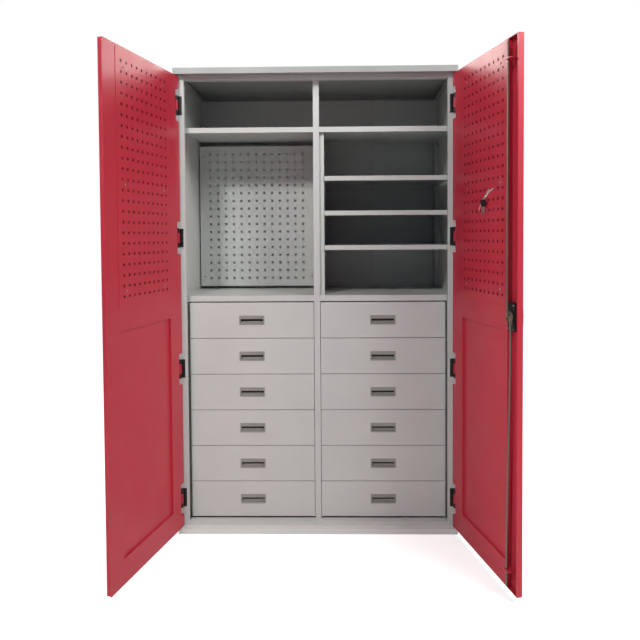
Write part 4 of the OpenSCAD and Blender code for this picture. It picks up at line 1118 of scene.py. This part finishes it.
class CABINET_OT_keys(bpy.types.Operator):
    """Makes the two keys and the white tie that holds them to the tool panel"""

    bl_idname = "cabinet.keys"
    bl_label = "Keys"

    def execute(self, context):
        keys = context.scene.cabinet_keys
        door = door_matrix("right")
        high = local_box("key_tie", door)[1]
        hole = Vector((high.x - 15.4, 10, high.z - in_mm(keys, "tie_width") / 2))
        knot = hole + Vector((-42, 0, -24))
        self.tie(keys, door, hole, knot)
        self.keys(keys, door, knot)
        return {"FINISHED"}

    def tie(self, keys, door, hole, knot):
        """Strip through two holes of the panel, closed by its lock, with the tail hanging free."""
        width, thick = in_mm(keys, "tie_width"), in_mm(keys, "tie_thickness")
        depth, up = Vector((0, 1, 0)), Vector((0, 0, 1))
        inset, behind, fall, lock = 14.7, -2.7, math.radians(37), 6.5

        def bowed(start, end, lift, steps=12):
            lifts = (0.8 + lift * math.sin(math.pi * i / steps) for i in range(steps + 1))
            return [start.lerp(end, i / steps) + depth * rise for i, rise in enumerate(lifts)]

        def across(start, end):
            return (end - start).normalized().cross(depth)

        legs = [hole + Vector((s * inset, 0, 0)) for s in (-1, 1)]
        tail_end = knot + in_mm(keys, "tail") * Vector((-math.cos(fall), 0, -math.sin(fall)))

        def draw(bm):
            for leg in legs:
                ribbon(bm, [leg + depth * y for y in (-3.4, -1, 1.5)], up, width, thick)
                ribbon(bm, bowed(leg, knot, 2.2), across(leg, knot), width, thick)
            ribbon(bm, [leg + depth * behind for leg in legs], up, width, thick)
            ribbon(bm, bowed(knot, tail_end, 4.5), across(knot, tail_end), width, thick)

        outline = [(knot.x + x, knot.z + z) for x, z in rounded(lock, lock, 1)]
        mesh = joined([shape(draw), edged(prism(outline, 10.1, 16), 0.6)])
        piece("key_tie_strip", moved(mesh, door), "Tie Nylon", "right_door", ["key_tie"])

    def keys(self, keys, door, knot):
        """Two keys with moulded heads and cut blades, and the ring that joins them."""
        radius = in_mm(keys, "head") / 2
        blade = in_mm(keys, "blade")
        bows, blades = [], []
        thick, hole = 4, 5
        for offset, angle in ((Vector((-22, 3.4, -12)), 4), (Vector((1, 8.4, -12)), -5)):
            bow = [(x * (0.93 + 0.07 * abs(z) / radius), z - radius) for x, z in circle(radius, 40)]
            eye = prism([(x, z - hole) for x, z in circle(2.2, 20)], -1, thick + 1)
            dish = prism([(x * 1.25, z - radius - 3) for x, z in circle(5.4, 28)], -1, 0.6)
            form = edged(combined(prism(bow, 0, thick), "DIFFERENCE", eye, dish), 0.7)
            root, end = -2 * radius, -2 * radius - blade
            cuts = [(-4, root + 3), (-4, root - 3), (-3, root - 4), (-3, end + 4), (-0.4, end), (1.2, end)]
            teeth = [0.9, 2.6, 1.4, 3.2, 1.0, 2.2, 0.5]
            for i, tooth in enumerate(teeth):
                z = end + 3 + i * (blade - 7) / len(teeth)
                cuts += [(4 - tooth, z), (4 - tooth, z + 1.6)]
            cuts += [(4, root - 3), (4, root + 3)]
            stem = prism(cuts, 1, 3)
            place = Matrix.Translation(knot + offset) @ Matrix.Rotation(math.radians(angle), 4, "Y")
            bows.append(moved(form, place))
            blades.append(moved(edged(stem, 0.2, 1), place))
        blades.append(self.ring(keys, knot))
        heads = moved(joined(bows), door)
        piece("key_heads", heads, "Black Plastic", "right_door", ["keys"])
        piece("key_blades", moved(joined(blades), door), "Zinc", "right_door")

    def ring(self, keys, knot):
        """Ring of wire through the eyes of both keys and round the tie."""
        wire = in_mm(keys, "wire") / 2
        centre, around, tilt, steps, sides = knot + Vector((-10.5, 7.9, -12)), 12.5, 5 / 23, 48, 10

        section = circle(wire, sides)

        def draw(bm):
            rings = []
            for i in range(steps):
                cos, sin = math.cos(TURN * i / steps), math.sin(TURN * i / steps)
                middle = centre + Vector((around * cos, around * cos * tilt, around * sin))
                outwards, depth = Vector((cos, 0, sin)), Vector((0, 1, 0))
                rings.append([bm.verts.new(middle + outwards * a + depth * b) for a, b in section])
            bridge(bm, rings + rings[:1])

        return shape(draw)


class CABINET_PT_sidebar(bpy.types.Panel):
    """Sizes, colours and steps of the cabinet"""

    bl_label = "Tool Cabinet"
    bl_idname = "CABINET_PT_sidebar"
    bl_space_type = "VIEW_3D"
    bl_region_type = "UI"
    bl_category = "Cabinet"

    def draw(self, context):
        for step in STEPS:
            self.layout.operator(step.bl_idname)
        for name, group in GROUPS.items():
            box = self.layout.box()
            box.label(text=group.__doc__)
            for entry in group.__annotations__:
                box.prop(getattr(context.scene, name), entry)


STEPS = (
    CABINET_OT_camera,
    CABINET_OT_paint,
    CABINET_OT_pulls,
    CABINET_OT_panel_screws,
    CABINET_OT_hinge_screws,
    CABINET_OT_welds,
    CABINET_OT_lock,
    CABINET_OT_keys,
    CABINET_OT_stage,
)
CLASSES = (*GROUPS.values(), *STEPS, CABINET_PT_sidebar)


def register():
    for cls in CLASSES:
        bpy.utils.register_class(cls)
    for name, group in GROUPS.items():
        setattr(bpy.types.Scene, name, PointerProperty(type=group))


def unregister():
    for name in GROUPS:
        delattr(bpy.types.Scene, name)
    for cls in reversed(CLASSES):
        bpy.utils.unregister_class(cls)


def main():
    register()
    for step in STEPS:
        area, name = step.bl_idname.split(".")
        getattr(getattr(bpy.ops, area), name)()


if __name__ == "__main__":
    main()
